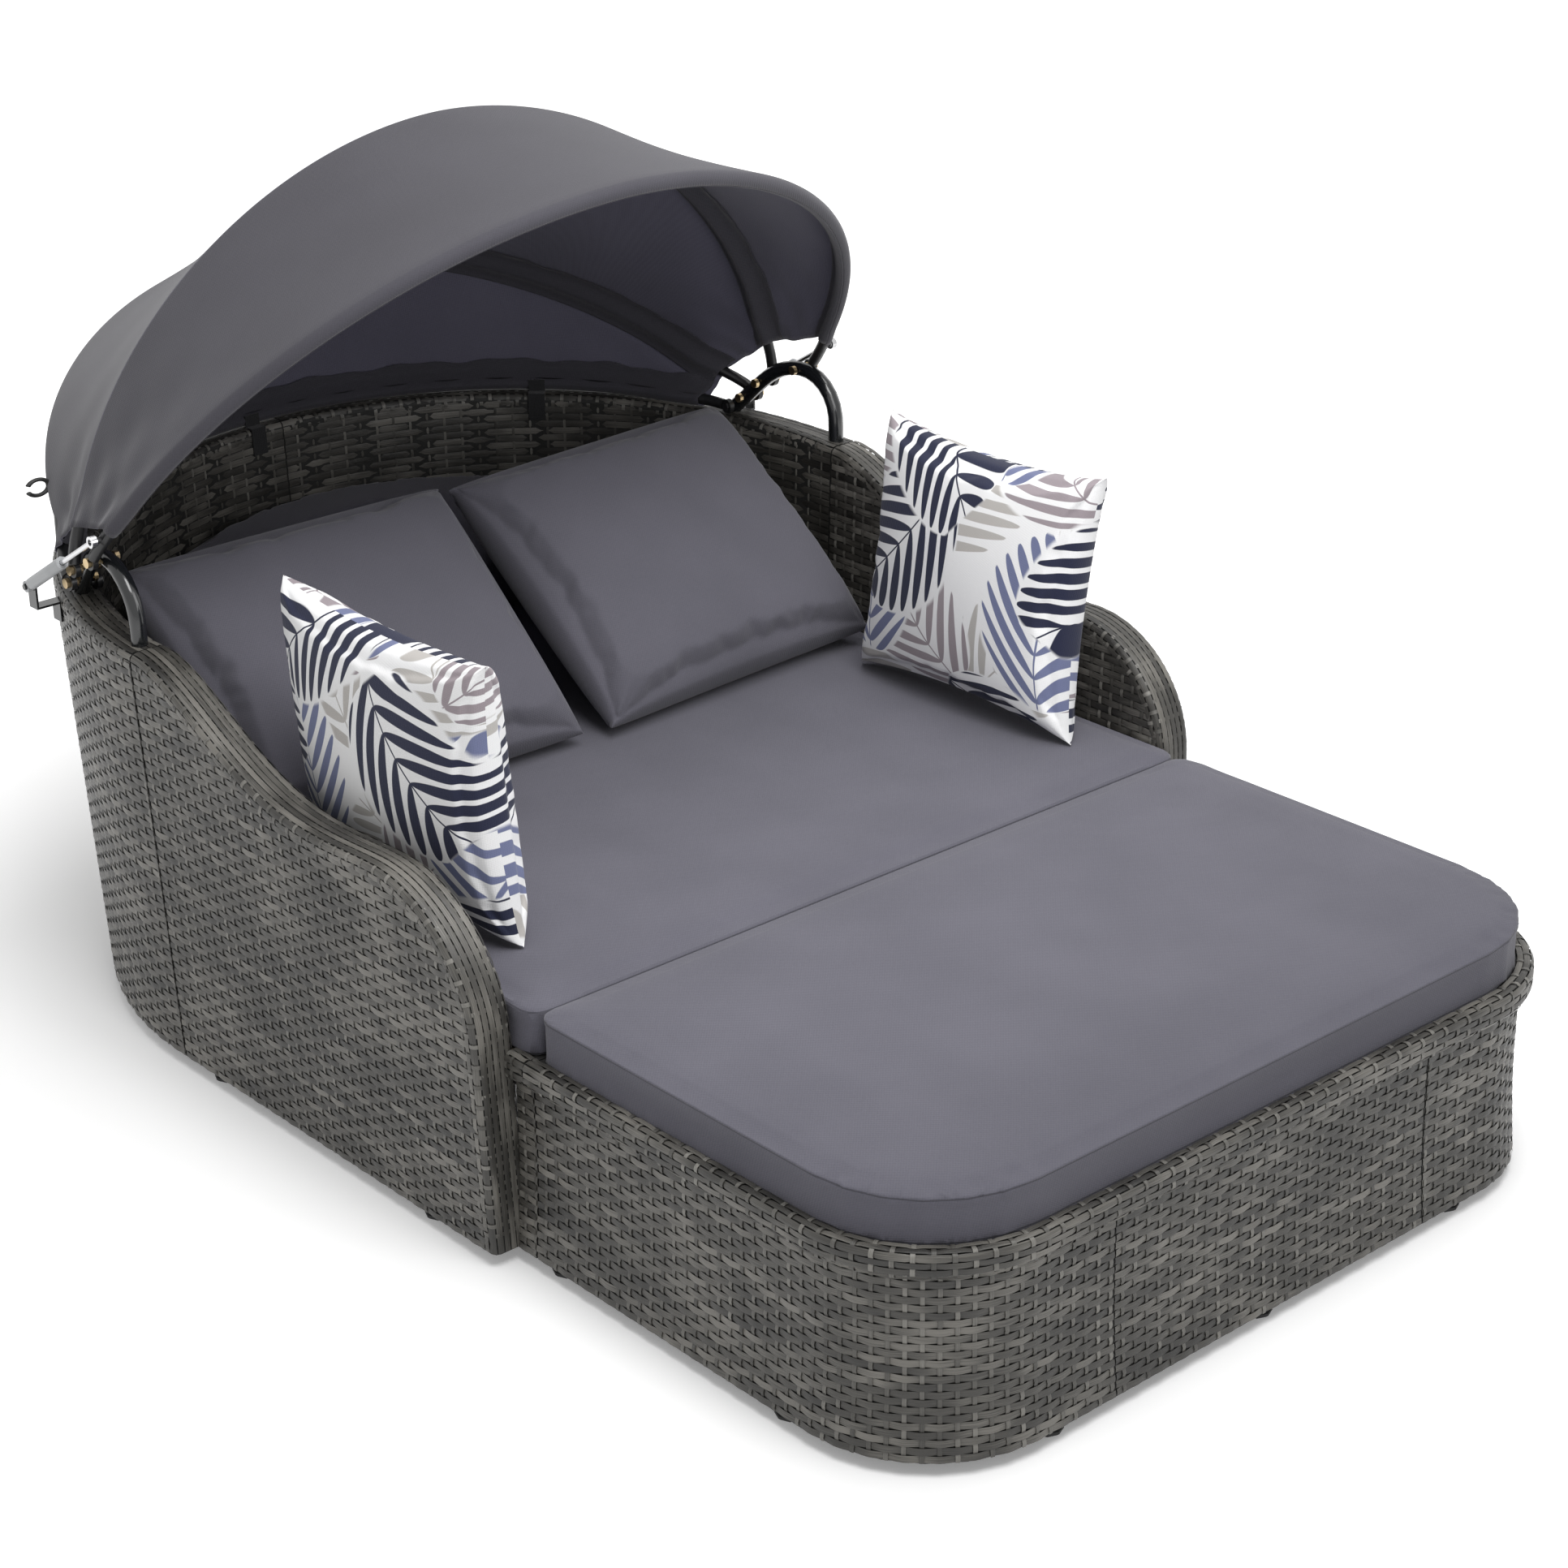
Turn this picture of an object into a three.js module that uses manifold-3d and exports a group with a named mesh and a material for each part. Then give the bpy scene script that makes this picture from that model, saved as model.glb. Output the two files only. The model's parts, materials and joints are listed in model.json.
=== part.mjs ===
// Outdoor daybed with a folding canopy: woven walls on welded steel frames, a loose ottoman that
// closes the front, boxed cushions and pillows, and a fabric hood on four hoops with gas struts.
// Millimetres, X to the right seen from the foot end, Y towards the back, Z up.
import * as THREE from "three";
import { mergeVertices } from "three/addons/utils/BufferGeometryUtils.js";
import Module from "manifold-3d";

const wasm = await Module();
wasm.setup();

// Fits
const clearance = 0.3;
const overrun = 10;
const weldDistance = 0.001;
const partingGap = 2;

// Woven walls and what stands inside them
const wovenFoot = 19;
const weaveWall = 5;
const wallThickness = 54;
const wallHalfWidth = 612;
const leanShare = 0.045;
const wallEdgeRadius = 9;
const wallRail = 36;
const armWindows = 3;
const backWindows = 4;

// Side line of the arms
const armFront = 38;
const armNose = 315;
const armNoseReach = 182;
const armCrest = 492;
const armDip = 488;
const armDipReach = 292;
const armSeam = 735;
const armRisePower = 1.35;
const backCentre = 752;
const rimAtArm = 616;
const rimAtBack = 649;

// Seat base
const apronInset = 35;
const rimFoot = 261;
const rimTop = 291;
const rimProud = 6.5;
const rimEdgeRadius = 6;
const rimBand = 40;
const seatFrameDepth = 40;
const seatRail = 32;
const gridBar = 24;
const seatRows = 6;
const seatColumns = 5;
const deckThickness = 4.4;
const deckTop = 287.7;
const skirtWaist = 9;

// Ottoman
const ottomanFront = -686;
const ottomanCornerRadius = 185;
const ottomanSeam = 274;
const ottomanFrameTopDepth = 40;
const ottomanFrameFootDepth = 26;
const ottomanRail = 28;
const ottomanRows = 3;
const ottomanColumns = 5;
const ottomanPost = 26;

// Glides
const glideRadius = 19;
const glideStemRadius = 13;
const glideFlange = 6;
const armGlideFront = 192;
const armGlideRear = 677;
const backGlideTurn = 52;
const ottomanGlideRear = -24;
const ottomanGlideSide = -434;
const ottomanGlideInset = 36;

// Seat and ottoman cushions
const cushionFoot = 288;
const cushionTop = 350.5;
const cushionFit = 4;
const cushionEdge = 10;
const cushionCrown = 12;
const cushionCrownReach = 160;
const cushionDrawIn = 4;
const cushionSquareCorner = 26;
const ottomanCushionFront = -666.5;
const ottomanCushionCorner = 173;

// Back cushion along the round wall
const backCushionThickness = 200;
const backCushionEdge = 34;
const backCushionTurn = 14;
const backCushionTopAtArm = 495;
const backCushionTopAtBack = 545;
const backCushionRelief = 4;

// Pillows
const pillowSeam = 3;
const pillowFullness = 0.42;
const backPillowRoom = 36;
const backPillowHeight = 440;
const backPillowThickness = 160;
const backPillowDrawIn = 14;
const backPillowTilt = 50;
const backPillowFoot = 566;
const backRightLap = 3;
const backRightTurn = 4;
const backLeftShift = 35;
const backLeftTurn = -1;
const throwPillowWidth = 430;
const throwPillowHeight = 388;
const throwPillowThickness = 130;
const throwPillowDrawIn = 20;
const throwRightTilt = 9;
const throwRightInset = 111;
const throwRightMiddle = 316;
const throwLeftTilt = 5;
const throwLeftInset = 86;
const throwLeftMiddle = 341;

// Arched tube that carries each end of the hood
const archRadius = 11.5;
const archSetback = 4;
const archRise = 30;
const archFrontBend = 70;
const archRearBend = 104;
const archSlope = 44;
const archSocket = 28;

// Pivots along the arch: the first by its turn on the rear bend, the others along the slope
const frontPivotTurn = 2.2;
const middlePivotAlong = 6;
const thirdPivotAlong = 46;
const rearPivotAlong = 66;

// Hoops of the hood
const hoopRadius = 8.5;
const hoopEyeRadius = 11;
const hoopEyeThickness = 8;
const hoopLegStart = 9.5;
const hoopSettle = 110;
const hoopOffset = 21;
const frontHoopReach = 584;
const frontHoopDraw = 8;
const frontHoopAngle = 129.5;
const middleHoopReach = 506;
const middleHoopDraw = 15;
const middleHoopAngle = 93;
const thirdHoopReach = 514;
const thirdHoopDraw = 35;
const thirdHoopAngle = 28.5;
const rearHoopInset = 3.6;
const rearHoopDraw = 19;
const rearHoopAngle = 3;
const hoopPower = 1.9;

// Pivot bolts
const boltRadius = 4;
const boltHeadRadius = 7;
const boltHeadThickness = 4.7;
const boltNutThickness = 6;
const boltCollarRadius = 7.5;

// Fabric of the hood
const fabricThickness = 2.4;
const fabricFit = 0.5;
const fabricStart = 0.125;
const fabricPuff = 4;
const frontHemTurn = 150;
const rearHemTurn = 95;
const fabricSeamGap = 0.5;

// Gas struts
const strutGap = 30;
const strutStudAlong = 51;
const strutStudRadius = 4;
const strutFootBack = 982;
const strutFootHeight = 645;
const strutBodyRadius = 9;
const strutBodyStart = 14;
const strutBodyEnd = 116;
const strutRodRadius = 4;
const strutRodLap = 22;
const strutBore = 96;
const strutEyeRadius = 8;
const strutEyeThickness = 8;
const strutNeckRadius = 4;
const bracketThickness = 3;
const bracketWidth = 20;
const bracketDrop = 33;
const bracketFootHeight = 26;
const bracketFlange = 12;

// Hem straps that tie the rear hoop to the rim
const strapWidth = 26;
const strapThickness = 2;
const strapDrop = 40;
const strapLap = 6;
const strapFacets = [5, 10];

// Fineness of the round work
const noseSteps = 7;
const riseSteps = 7;
const backSteps = 10;
const edgeSteps = 3;
const cornerSteps = 6;
const roundSteps = 14;
const tubeSides = 8;
const boltSides = 10;
const hoopLegSteps = 3;
const archSteps = 22;
const pillowSteps = 9;
const fabricSteps = 18;
const fabricPanelSteps = 5;
const halvings = 16;
const quarter = Math.PI / 2;
const half = 1 / 2;

const radians = THREE.MathUtils.degToRad;
const smooth = (share) => share * share * (3 - 2 * share);
const mix = THREE.MathUtils.lerp;

// Finishes, one material for each piece
const finishes = {
  weave: { color: 0x69655f, roughness: 0.55, metalness: 0 },
  frame: { color: 0x3a3b3d, roughness: 0.6, metalness: 0.3 },
  deck: { color: 0x55524d, roughness: 0.6, metalness: 0 },
  glide: { color: 0x1c1c1e, roughness: 0.5, metalness: 0 },
  cushion: { color: 0x6d6b76, roughness: 0.95, metalness: 0 },
  pillow: { color: 0x6f6d77, roughness: 0.95, metalness: 0 },
  print: { color: 0xd6d5d2, roughness: 0.9, metalness: 0 },
  arch: { color: 0x121214, roughness: 0.22, metalness: 0.4 },
  hoop: { color: 0x2c2d2f, roughness: 0.4, metalness: 0.6 },
  bolt: { color: 0xa89260, roughness: 0.35, metalness: 0.9 },
  strut: { color: 0xb9bcbe, roughness: 0.35, metalness: 0.5 },
  rod: { color: 0xd4d6d8, roughness: 0.15, metalness: 1 },
  canopy: { color: 0x5f5f66, roughness: 0.95, metalness: 0 },
  strap: { color: 0x2a2a2e, roughness: 0.9, metalness: 0 },
};

// Named mesh of one piece
function piece(name, finish, geometry) {
  const mesh = new THREE.Mesh(geometry, new THREE.MeshStandardMaterial(finishes[finish]));
  mesh.name = name;
  return mesh;
}

// Triangles of the flat face that closes a ring
function capFaces(ring, first, flip) {
  const normal = new THREE.Vector3();
  ring.forEach((point, i) => normal.add(point.clone().cross(ring[(i + 1) % ring.length])));
  normal.normalize();
  const across = ring[1].clone().sub(ring[0]).cross(normal).normalize();
  const along = normal.clone().cross(across);
  const flat = ring.map((point) => new THREE.Vector2(point.dot(across), point.dot(along)));
  return THREE.ShapeUtils.triangulateShape(flat, []).flatMap(([a, b, c]) =>
    flip ? [first + a, first + c, first + b] : [first + a, first + b, first + c],
  );
}

// Six times the volume inside a surface, negative when its faces point inwards
function signedVolume(points, index) {
  let sum = 0;
  for (let i = 0; i < index.length; i += 3)
    sum += points[index[i]].dot(points[index[i + 1]].clone().cross(points[index[i + 2]]));
  return sum;
}

// Closed solid through rings of equal count, with flat ends
function loft(rings) {
  const count = rings[0].length;
  const points = rings.flat();
  const last = points.length - count;
  const index = [];
  for (let start = 0; start < last; start += count)
    for (let i = 0; i < count; i++) {
      const a = start + i;
      const b = start + ((i + 1) % count);
      index.push(a, b, b + count, a, b + count, a + count);
    }
  index.push(...capFaces(rings[0], 0, true), ...capFaces(rings.at(-1), last, false));
  if (signedVolume(points, index) < 0) index.reverse();
  const geometry = new THREE.BufferGeometry().setFromPoints(points).setIndex(index);
  geometry.computeVertexNormals();
  return geometry;
}

// Solid for joining and cutting, and back again
function toSolid(geometry) {
  const bare = geometry.clone();
  bare.deleteAttribute("normal");
  bare.deleteAttribute("uv");
  const merged = mergeVertices(bare, weldDistance);
  return new wasm.Manifold(
    new wasm.Mesh({
      numProp: 3,
      vertProperties: merged.attributes.position.array,
      triVerts: new Uint32Array(merged.index.array),
    }),
  );
}

function toGeometry(solid) {
  const mesh = solid.getMesh();
  const geometry = new THREE.BufferGeometry();
  geometry.setAttribute("position", new THREE.BufferAttribute(mesh.vertProperties, 3));
  geometry.setIndex(new THREE.BufferAttribute(mesh.triVerts, 1));
  geometry.computeVertexNormals();
  return geometry;
}

const cut = (base, ...tools) =>
  toGeometry(tools.reduce((solid, tool) => solid.subtract(toSolid(tool)), toSolid(base)));
const join = (base, ...others) =>
  toGeometry(others.reduce((solid, other) => solid.add(toSolid(other)), toSolid(base)));

// Box between two corners
function block([x0, y0, z0], [x1, y1, z1]) {
  const geometry = new THREE.BoxGeometry(x1 - x0, y1 - y0, z1 - z0);
  return geometry.translate((x0 + x1) * half, (y0 + y1) * half, (z0 + z1) * half);
}

// Upright plate of a plan outline
function plate(shape, bottom, top) {
  const options = { depth: top - bottom, bevelEnabled: false, curveSegments: roundSteps };
  return new THREE.ExtrudeGeometry(shape, options).translate(0, 0, bottom);
}

// Round bar along a run of points
function tube(points, radius, steps) {
  const section = new THREE.Shape().absarc(0, 0, radius, 0, Math.PI * 2);
  return new THREE.ExtrudeGeometry(section, {
    steps,
    curveSegments: tubeSides * half,
    bevelEnabled: false,
    extrudePath: new THREE.CatmullRomCurve3(points, false, "centripetal"),
  });
}

// Turned piece on the X axis from pairs of radius and place
function turned(profile, sides) {
  const points = profile.map(([radius, place]) => new THREE.Vector2(radius, place));
  return new THREE.LatheGeometry(points, sides).rotateZ(-quarter);
}

const lean = (height) => leanShare * (height - wovenFoot);
const wallMiddle = wallHalfWidth - wallThickness * half;
const wallInside = (height) => wallHalfWidth - wallThickness + lean(height);
const apronHalfWidth = wallHalfWidth - apronInset;
const cushionHalfWidth = wallInside(cushionFoot) - cushionFit;
const strutAside = wallHalfWidth + strutGap;

// Height of the arm's top line at a place along it
function armTop(along) {
  const reach = along - armFront;
  if (reach < armNoseReach) {
    const left = 1 - Math.max(reach, 0) / armNoseReach;
    return armNose + (armCrest - armNose) * Math.sqrt(1 - left * left);
  }
  if (reach < armDipReach)
    return mix(armCrest, armDip, smooth((reach - armNoseReach) / (armDipReach - armNoseReach)));
  const rise = (reach - armDipReach) / (armSeam - armFront - armDipReach);
  return mix(armDip, rimAtArm, smooth(Math.min(rise, 1) ** armRisePower));
}

const backTop = (turn) => mix(rimAtArm, rimAtBack, Math.sin(turn));

// Cross section of a wall as pairs of offset from its middle plane and height
function wallSection(halfWidth, foot, top, edge) {
  const points = [[-halfWidth, foot]];
  for (let side = -1; side <= 1; side += 2)
    for (let i = 0; i <= edgeSteps; i++) {
      const angle = (side < 0 ? i / edgeSteps : 1 - i / edgeSteps) * quarter;
      const across = halfWidth - edge + edge * Math.cos(angle);
      points.push([side * across, top - edge + edge * Math.sin(angle)]);
    }
  points.push([halfWidth, foot]);
  return points;
}

// Wall through stations, each with a place, an outward direction, a top height and a narrowing
function wallSolid(stations, halfWidth, foot, edge) {
  return loft(
    stations.map(({ x, y, out, top, narrow = 0 }) =>
      wallSection(halfWidth - narrow, foot, top, edge).map(([offset, height]) => {
        const reach = offset + lean(height);
        return new THREE.Vector3(x + out.x * reach, y + out.y * reach, height);
      }),
    ),
  );
}

// Stations of one arm between two places, with the top set in by an inset
function armStations(side, from, to, inset, fine) {
  const places = [from];
  const nose = (i) => from + armNoseReach * (1 - Math.cos((i / noseSteps) * quarter));
  if (fine) {
    places.push(from + wallEdgeRadius * (1 - Math.cos(quarter * half)));
    places.push(from + wallEdgeRadius);
    for (let i = 1; i <= noseSteps; i++)
      if (nose(i) > from + wallEdgeRadius) places.push(nose(i));
    for (let i = 1; i <= riseSteps; i++) places.push(mix(nose(noseSteps), to, i / riseSteps));
  } else {
    for (let i = 1; i <= edgeSteps; i++) places.push(mix(from, to, i / edgeSteps));
  }
  return places.map((y) => {
    const shy = Math.max(wallEdgeRadius - (y - from), 0);
    const narrow = wallEdgeRadius - Math.sqrt(wallEdgeRadius ** 2 - shy ** 2);
    const out = new THREE.Vector2(side, 0);
    return { x: side * wallMiddle, y, out, top: armTop(y - inset) - inset, narrow: fine ? narrow : 0 };
  });
}

// Outward direction on the round back, kept on its flat facets between their corners
const facet = quarter / backSteps;

function facetOut(turn) {
  const corner = Math.min(Math.floor(turn / facet), backSteps * 2 - 1);
  const before = new THREE.Vector2(Math.cos(corner * facet), Math.sin(corner * facet));
  const after = new THREE.Vector2(Math.cos((corner + 1) * facet), Math.sin((corner + 1) * facet));
  return before.lerp(after, turn / facet - corner);
}

// Stations of one half of the round back; both ends are lengths along the wall from the arm seam
const backStraight = backCentre - armSeam;
const backLength = backStraight + wallMiddle * quarter;

function backStation(side, along, inset) {
  const turn = Math.max(along - backStraight, 0) / wallMiddle;
  const out = facetOut(turn);
  out.x *= side;
  return {
    x: wallMiddle * out.x,
    y: backCentre + wallMiddle * out.y + Math.min(along - backStraight, 0),
    out,
    top: backTop(turn) - inset,
  };
}

function backStations(side, from, to, inset) {
  const corners = Array.from({ length: backSteps + 1 }, (_, i) => backStraight + wallMiddle * facet * i);
  const places = [from, ...corners.filter((along) => along > from && along < to), to];
  return places.map((along) => backStation(side, along, inset));
}

const cavityHalf = wallThickness * half - weaveWall;
const frameHalf = cavityHalf - clearance;
const frameInset = weaveWall + clearance;

// Woven skin and steel frame of one arm
function armWeave(side) {
  const outer = armStations(side, armFront, armSeam - clearance * half, 0, true);
  const inner = armStations(side, armFront + weaveWall, armSeam - weaveWall, weaveWall, true);
  const skin = wallSolid(outer, wallThickness * half, wovenFoot, wallEdgeRadius);
  return cut(skin, wallSolid(inner, cavityHalf, wovenFoot - overrun, wallEdgeRadius - weaveWall));
}

function armFrame(side) {
  const from = armFront + frameInset;
  const to = armSeam - frameInset;
  const body = wallSolid(
    armStations(side, from, to, frameInset, true), frameHalf, wovenFoot, wallEdgeRadius - weaveWall,
  );
  const pitch = (to - from - wallRail) / armWindows;
  const windows = Array.from({ length: armWindows }, (_, i) => {
    const start = from + wallRail + i * pitch;
    const stations = armStations(side, start, start + pitch - wallRail, frameInset + wallRail, false);
    return wallSolid(stations, wallThickness, wovenFoot + wallRail, weaveWall);
  });
  return cut(body, ...windows);
}

// Woven skin and steel frame of one half of the back, bored for the arch
function backWeave(side, bore) {
  const outer = backStations(side, clearance * half, backLength - clearance * half, 0);
  const inner = backStations(side, weaveWall, backLength - weaveWall, weaveWall);
  const skin = wallSolid(outer, wallThickness * half, wovenFoot, wallEdgeRadius);
  const hollow = wallSolid(inner, cavityHalf, wovenFoot - overrun, wallEdgeRadius - weaveWall);
  return cut(skin, hollow, bore);
}

function backFrame(side, bore) {
  const from = frameInset;
  const to = backLength - frameInset;
  const stations = backStations(side, from, to, frameInset);
  const body = wallSolid(stations, frameHalf, wovenFoot, wallEdgeRadius - weaveWall);
  const pitch = (to - from - wallRail) / backWindows;
  const windows = Array.from({ length: backWindows }, (_, i) => {
    const start = from + wallRail + i * pitch;
    const opening = backStations(side, start, start + pitch - wallRail, frameInset + wallRail);
    return wallSolid(opening, wallThickness, wovenFoot + wallRail, weaveWall);
  });
  return cut(body, bore, ...windows);
}

// How far the woven skirt stands out at a height: in at the waist, proud at the rim
function skirtOffset(height) {
  const share = (height - wovenFoot) / (rimFoot - wovenFoot);
  return -skirtWaist * Math.sin(Math.min(share * (1 + half), 1) * quarter);
}

const skirtLevels = [0, 1 / 4, 1 / 2, 3 / 4, 1].map((share) => mix(wovenFoot, rimFoot - clearance, share));
const rimLevels = [
  [rimFoot, rimProud - rimEdgeRadius],
  [rimFoot + rimEdgeRadius, rimProud],
  [rimTop - rimEdgeRadius, rimProud],
  [rimTop - rimEdgeRadius * (1 - Math.SQRT1_2), rimProud - rimEdgeRadius * (1 - Math.SQRT1_2)],
  [rimTop, rimProud - rimEdgeRadius],
];

// Solid through plan outlines at rising levels
const stack = (levels, outlineAt) =>
  loft(levels.map((height) => outlineAt(height).map(([x, y]) => new THREE.Vector3(x, y, height))));

// Seat front: a skirt with its rim, hollow from behind and below
function seatApron() {
  const front = partingGap * half;
  const back = armFront - clearance;
  const outlineAt = (offset) => [
    [-apronHalfWidth - offset, front],
    [apronHalfWidth + offset, front],
    [apronHalfWidth + offset, back],
    [-apronHalfWidth - offset, back],
  ];
  const skirt = skirtLevels.map((height) => [height, skirtOffset(height)]);
  const levels = [...skirt, ...rimLevels];
  const rings = levels.map(([height, offset]) =>
    outlineAt(offset).map(([x, y]) => new THREE.Vector3(x, y, height)));
  const inside = apronHalfWidth - skirtWaist - weaveWall;
  const under = cushionHalfWidth + cushionEdge * half;
  const seat = cushionFoot - clearance;
  return cut(
    loft(rings),
    block([-inside, front + weaveWall, wovenFoot - overrun], [inside, back + overrun, seat - weaveWall]),
    block([-under, front - overrun, seat], [under, back + overrun, rimTop + overrun]),
  );
}

// Cutting blocks of a grid between bars, kept where their corners pass a test
function gridOpenings([x0, x1], [y0, y1], [z0, z1], columns, rows, inside) {
  const bar = gridBar;
  const wide = (x1 - x0 + bar) / columns;
  const deep = (y1 - y0 + bar) / rows;
  const openings = [];
  for (let i = 0; i < columns; i++)
    for (let j = 0; j < rows; j++) {
      const left = x0 + i * wide;
      const near = y0 + j * deep;
      const right = left + wide - bar;
      const far = near + deep - bar;
      const corners = [[left, near], [left, far], [right, far], [right, near]];
      if (corners.every(([x, y]) => inside(x, y)))
        openings.push(block([left, near, z0 - overrun], [right, far, z1 + overrun]));
    }
  return openings;
}

// Arc of plan points about a centre
function arcPoints(x, y, radius, start, end, steps) {
  return Array.from({ length: steps + 1 }, (_, i) => {
    const angle = mix(start, end, i / steps);
    return [x + radius * Math.cos(angle), y + radius * Math.sin(angle)];
  });
}

const roundBack = (reach) => arcPoints(0, backCentre, reach, 0, Math.PI, backSteps * 2);

// Plan of the seat between the arms, with a tongue that fills the apron
function seatPlan(halfWidth, front, tongueHalf, tongueBack) {
  const shape = new THREE.Shape();
  shape.moveTo(-tongueHalf, front);
  shape.lineTo(tongueHalf, front);
  shape.lineTo(tongueHalf, tongueBack);
  shape.lineTo(halfWidth, tongueBack);
  for (const [x, y] of roundBack(halfWidth)) shape.lineTo(x, y);
  shape.lineTo(-halfWidth, tongueBack);
  shape.lineTo(-tongueHalf, tongueBack);
  return shape;
}

const seatFrameTop = Math.min(deckTop - deckThickness, cushionFoot - clearance - weaveWall) - clearance;

function seatFrame() {
  const bottom = seatFrameTop - seatFrameDepth;
  const halfWidth = wallInside(bottom) - clearance;
  const front = partingGap * half + weaveWall + clearance;
  const tongueHalf = apronHalfWidth - skirtWaist - weaveWall - clearance;
  const shape = seatPlan(halfWidth, front, tongueHalf, armFront - clearance);
  const reach = halfWidth - seatRail;
  const openings = gridOpenings(
    [-reach, reach], [front + seatRail, backCentre + reach], [bottom, seatFrameTop], seatColumns, seatRows,
    (x, y) => y < backCentre || Math.hypot(x, y - backCentre) < reach,
  );
  return cut(plate(shape, bottom, seatFrameTop), ...openings);
}

function seatDeck() {
  const halfWidth = wallInside(deckTop - deckThickness) - clearance;
  const shape = new THREE.Shape();
  shape.moveTo(-halfWidth, armFront);
  shape.lineTo(halfWidth, armFront);
  for (const [x, y] of roundBack(halfWidth)) shape.lineTo(x, y);
  return plate(shape, deckTop - deckThickness, deckTop);
}

// Ottoman plan: left side, left corner, front, right corner and right side, stood out by an offset
function ottomanOutline(offset, rear) {
  const points = [[-apronHalfWidth - offset, rear]];
  for (let side = -1; side <= 1; side += 2)
    for (let i = 0; i <= cornerSteps; i++) {
      const angle = (side < 0 ? i / cornerSteps : 1 - i / cornerSteps) * quarter;
      const radius = ottomanCornerRadius + offset;
      points.push([
        side * (apronHalfWidth - ottomanCornerRadius + radius * Math.cos(angle)),
        ottomanFront + rimProud + ottomanCornerRadius - radius * Math.sin(angle),
      ]);
    }
  points.push([apronHalfWidth + offset, rear]);
  return points;
}

const ottomanRear = -partingGap * half;

// Woven skirt of one ottoman corner with its side
function ottomanCorner(side) {
  const edge = side * (ottomanSeam + clearance * half);
  const path = (offset) => {
    const points = ottomanOutline(offset, ottomanRear);
    const count = points.length * half;
    const own = side < 0 ? points.slice(0, count) : points.slice(count).reverse();
    return [...own, [edge, own.at(-1)[1]]];
  };
  return stack(skirtLevels, (height) => {
    const offset = skirtOffset(height);
    return [...path(offset), ...path(offset - weaveWall).reverse()];
  });
}

function ottomanFrontPanel() {
  const reach = ottomanSeam - clearance * half;
  return stack(skirtLevels, (height) => {
    const face = ottomanFront + rimProud - skirtOffset(height);
    return [[-reach, face], [reach, face], [reach, face + weaveWall], [-reach, face + weaveWall]];
  });
}

function ottomanRearPanel() {
  const reach = apronHalfWidth - skirtWaist - weaveWall - clearance;
  return block(
    [-reach, ottomanRear - weaveWall, wovenFoot],
    [reach, ottomanRear, rimFoot - clearance],
  );
}

// Closed outline shape of the ottoman, set by an offset
const ottomanShape = (offset, rear) =>
  new THREE.Shape(ottomanOutline(offset, rear).map(([x, y]) => new THREE.Vector2(x, y)));

function ottomanTop() {
  const rings = rimLevels.map(([height, offset]) =>
    ottomanOutline(offset, ottomanRear).map(([x, y]) => new THREE.Vector3(x, y, height)));
  const recess = ottomanShape(-cushionEdge * half, ottomanRear + overrun);
  const hollow = ottomanShape(rimProud - rimBand, ottomanRear - rimBand);
  return cut(
    loft(rings),
    plate(recess, cushionFoot - clearance, rimTop + overrun),
    plate(hollow, rimFoot - overrun, cushionFoot - clearance - weaveWall),
  );
}

// Glide places under the ottoman as plan points
const ottomanGlides = [
  ["left_rear", -1, ottomanGlideRear],
  ["left_side", -1, ottomanGlideSide],
  ["right_rear", 1, ottomanGlideRear],
  ["right_side", 1, ottomanGlideSide],
].map(([name, side, y]) => [name, side * ottomanPostLine(), y]);
[["front_left", -1], ["front_middle", 0], ["front_right", 1]].forEach(([name, share]) =>
  ottomanGlides.push([name, share * ottomanGlideFront(), ottomanFrontLine()]));

function ottomanGlideFront() {
  return apronHalfWidth - ottomanCornerRadius - ottomanGlideInset;
}

function ottomanPostLine() {
  return apronHalfWidth - skirtWaist - weaveWall - clearance - ottomanPost * half;
}

function ottomanFrontLine() {
  return ottomanFront + rimProud + skirtWaist + weaveWall + clearance + ottomanPost * half;
}

function ottomanFrame() {
  const offset = -skirtWaist - weaveWall - clearance;
  const rear = ottomanRear - weaveWall - clearance;
  const top = rimFoot - clearance;
  const bottom = top - ottomanFrameTopDepth;
  const upper = ottomanShape(offset, rear);
  const reach = apronHalfWidth + offset - ottomanRail;
  const nose = ottomanFront + rimProud - offset + ottomanRail;
  const bend = ottomanCornerRadius + offset - ottomanRail;
  const openings = gridOpenings(
    [-reach, reach], [nose, rear - ottomanRail], [bottom, top], ottomanColumns, ottomanRows,
    (x, y) => Math.hypot(Math.max(Math.abs(x) - reach + bend, 0), Math.max(nose + bend - y, 0)) <= bend,
  );
  const footTop = wovenFoot + ottomanFrameFootDepth;
  const inner = ottomanShape(offset - ottomanRail, rear - ottomanRail);
  const lower = cut(plate(upper, wovenFoot, footTop), plate(inner, wovenFoot - overrun, footTop + overrun));
  const posts = ottomanGlides.map(([, x, y]) => {
    const near = Math.min(y + ottomanPost * half, rear);
    return block(
      [x - ottomanPost * half, near - ottomanPost, wovenFoot + overrun],
      [x + ottomanPost * half, near, top - overrun],
    );
  });
  return join(cut(plate(upper, bottom, top), ...openings), lower, ...posts);
}

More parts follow.
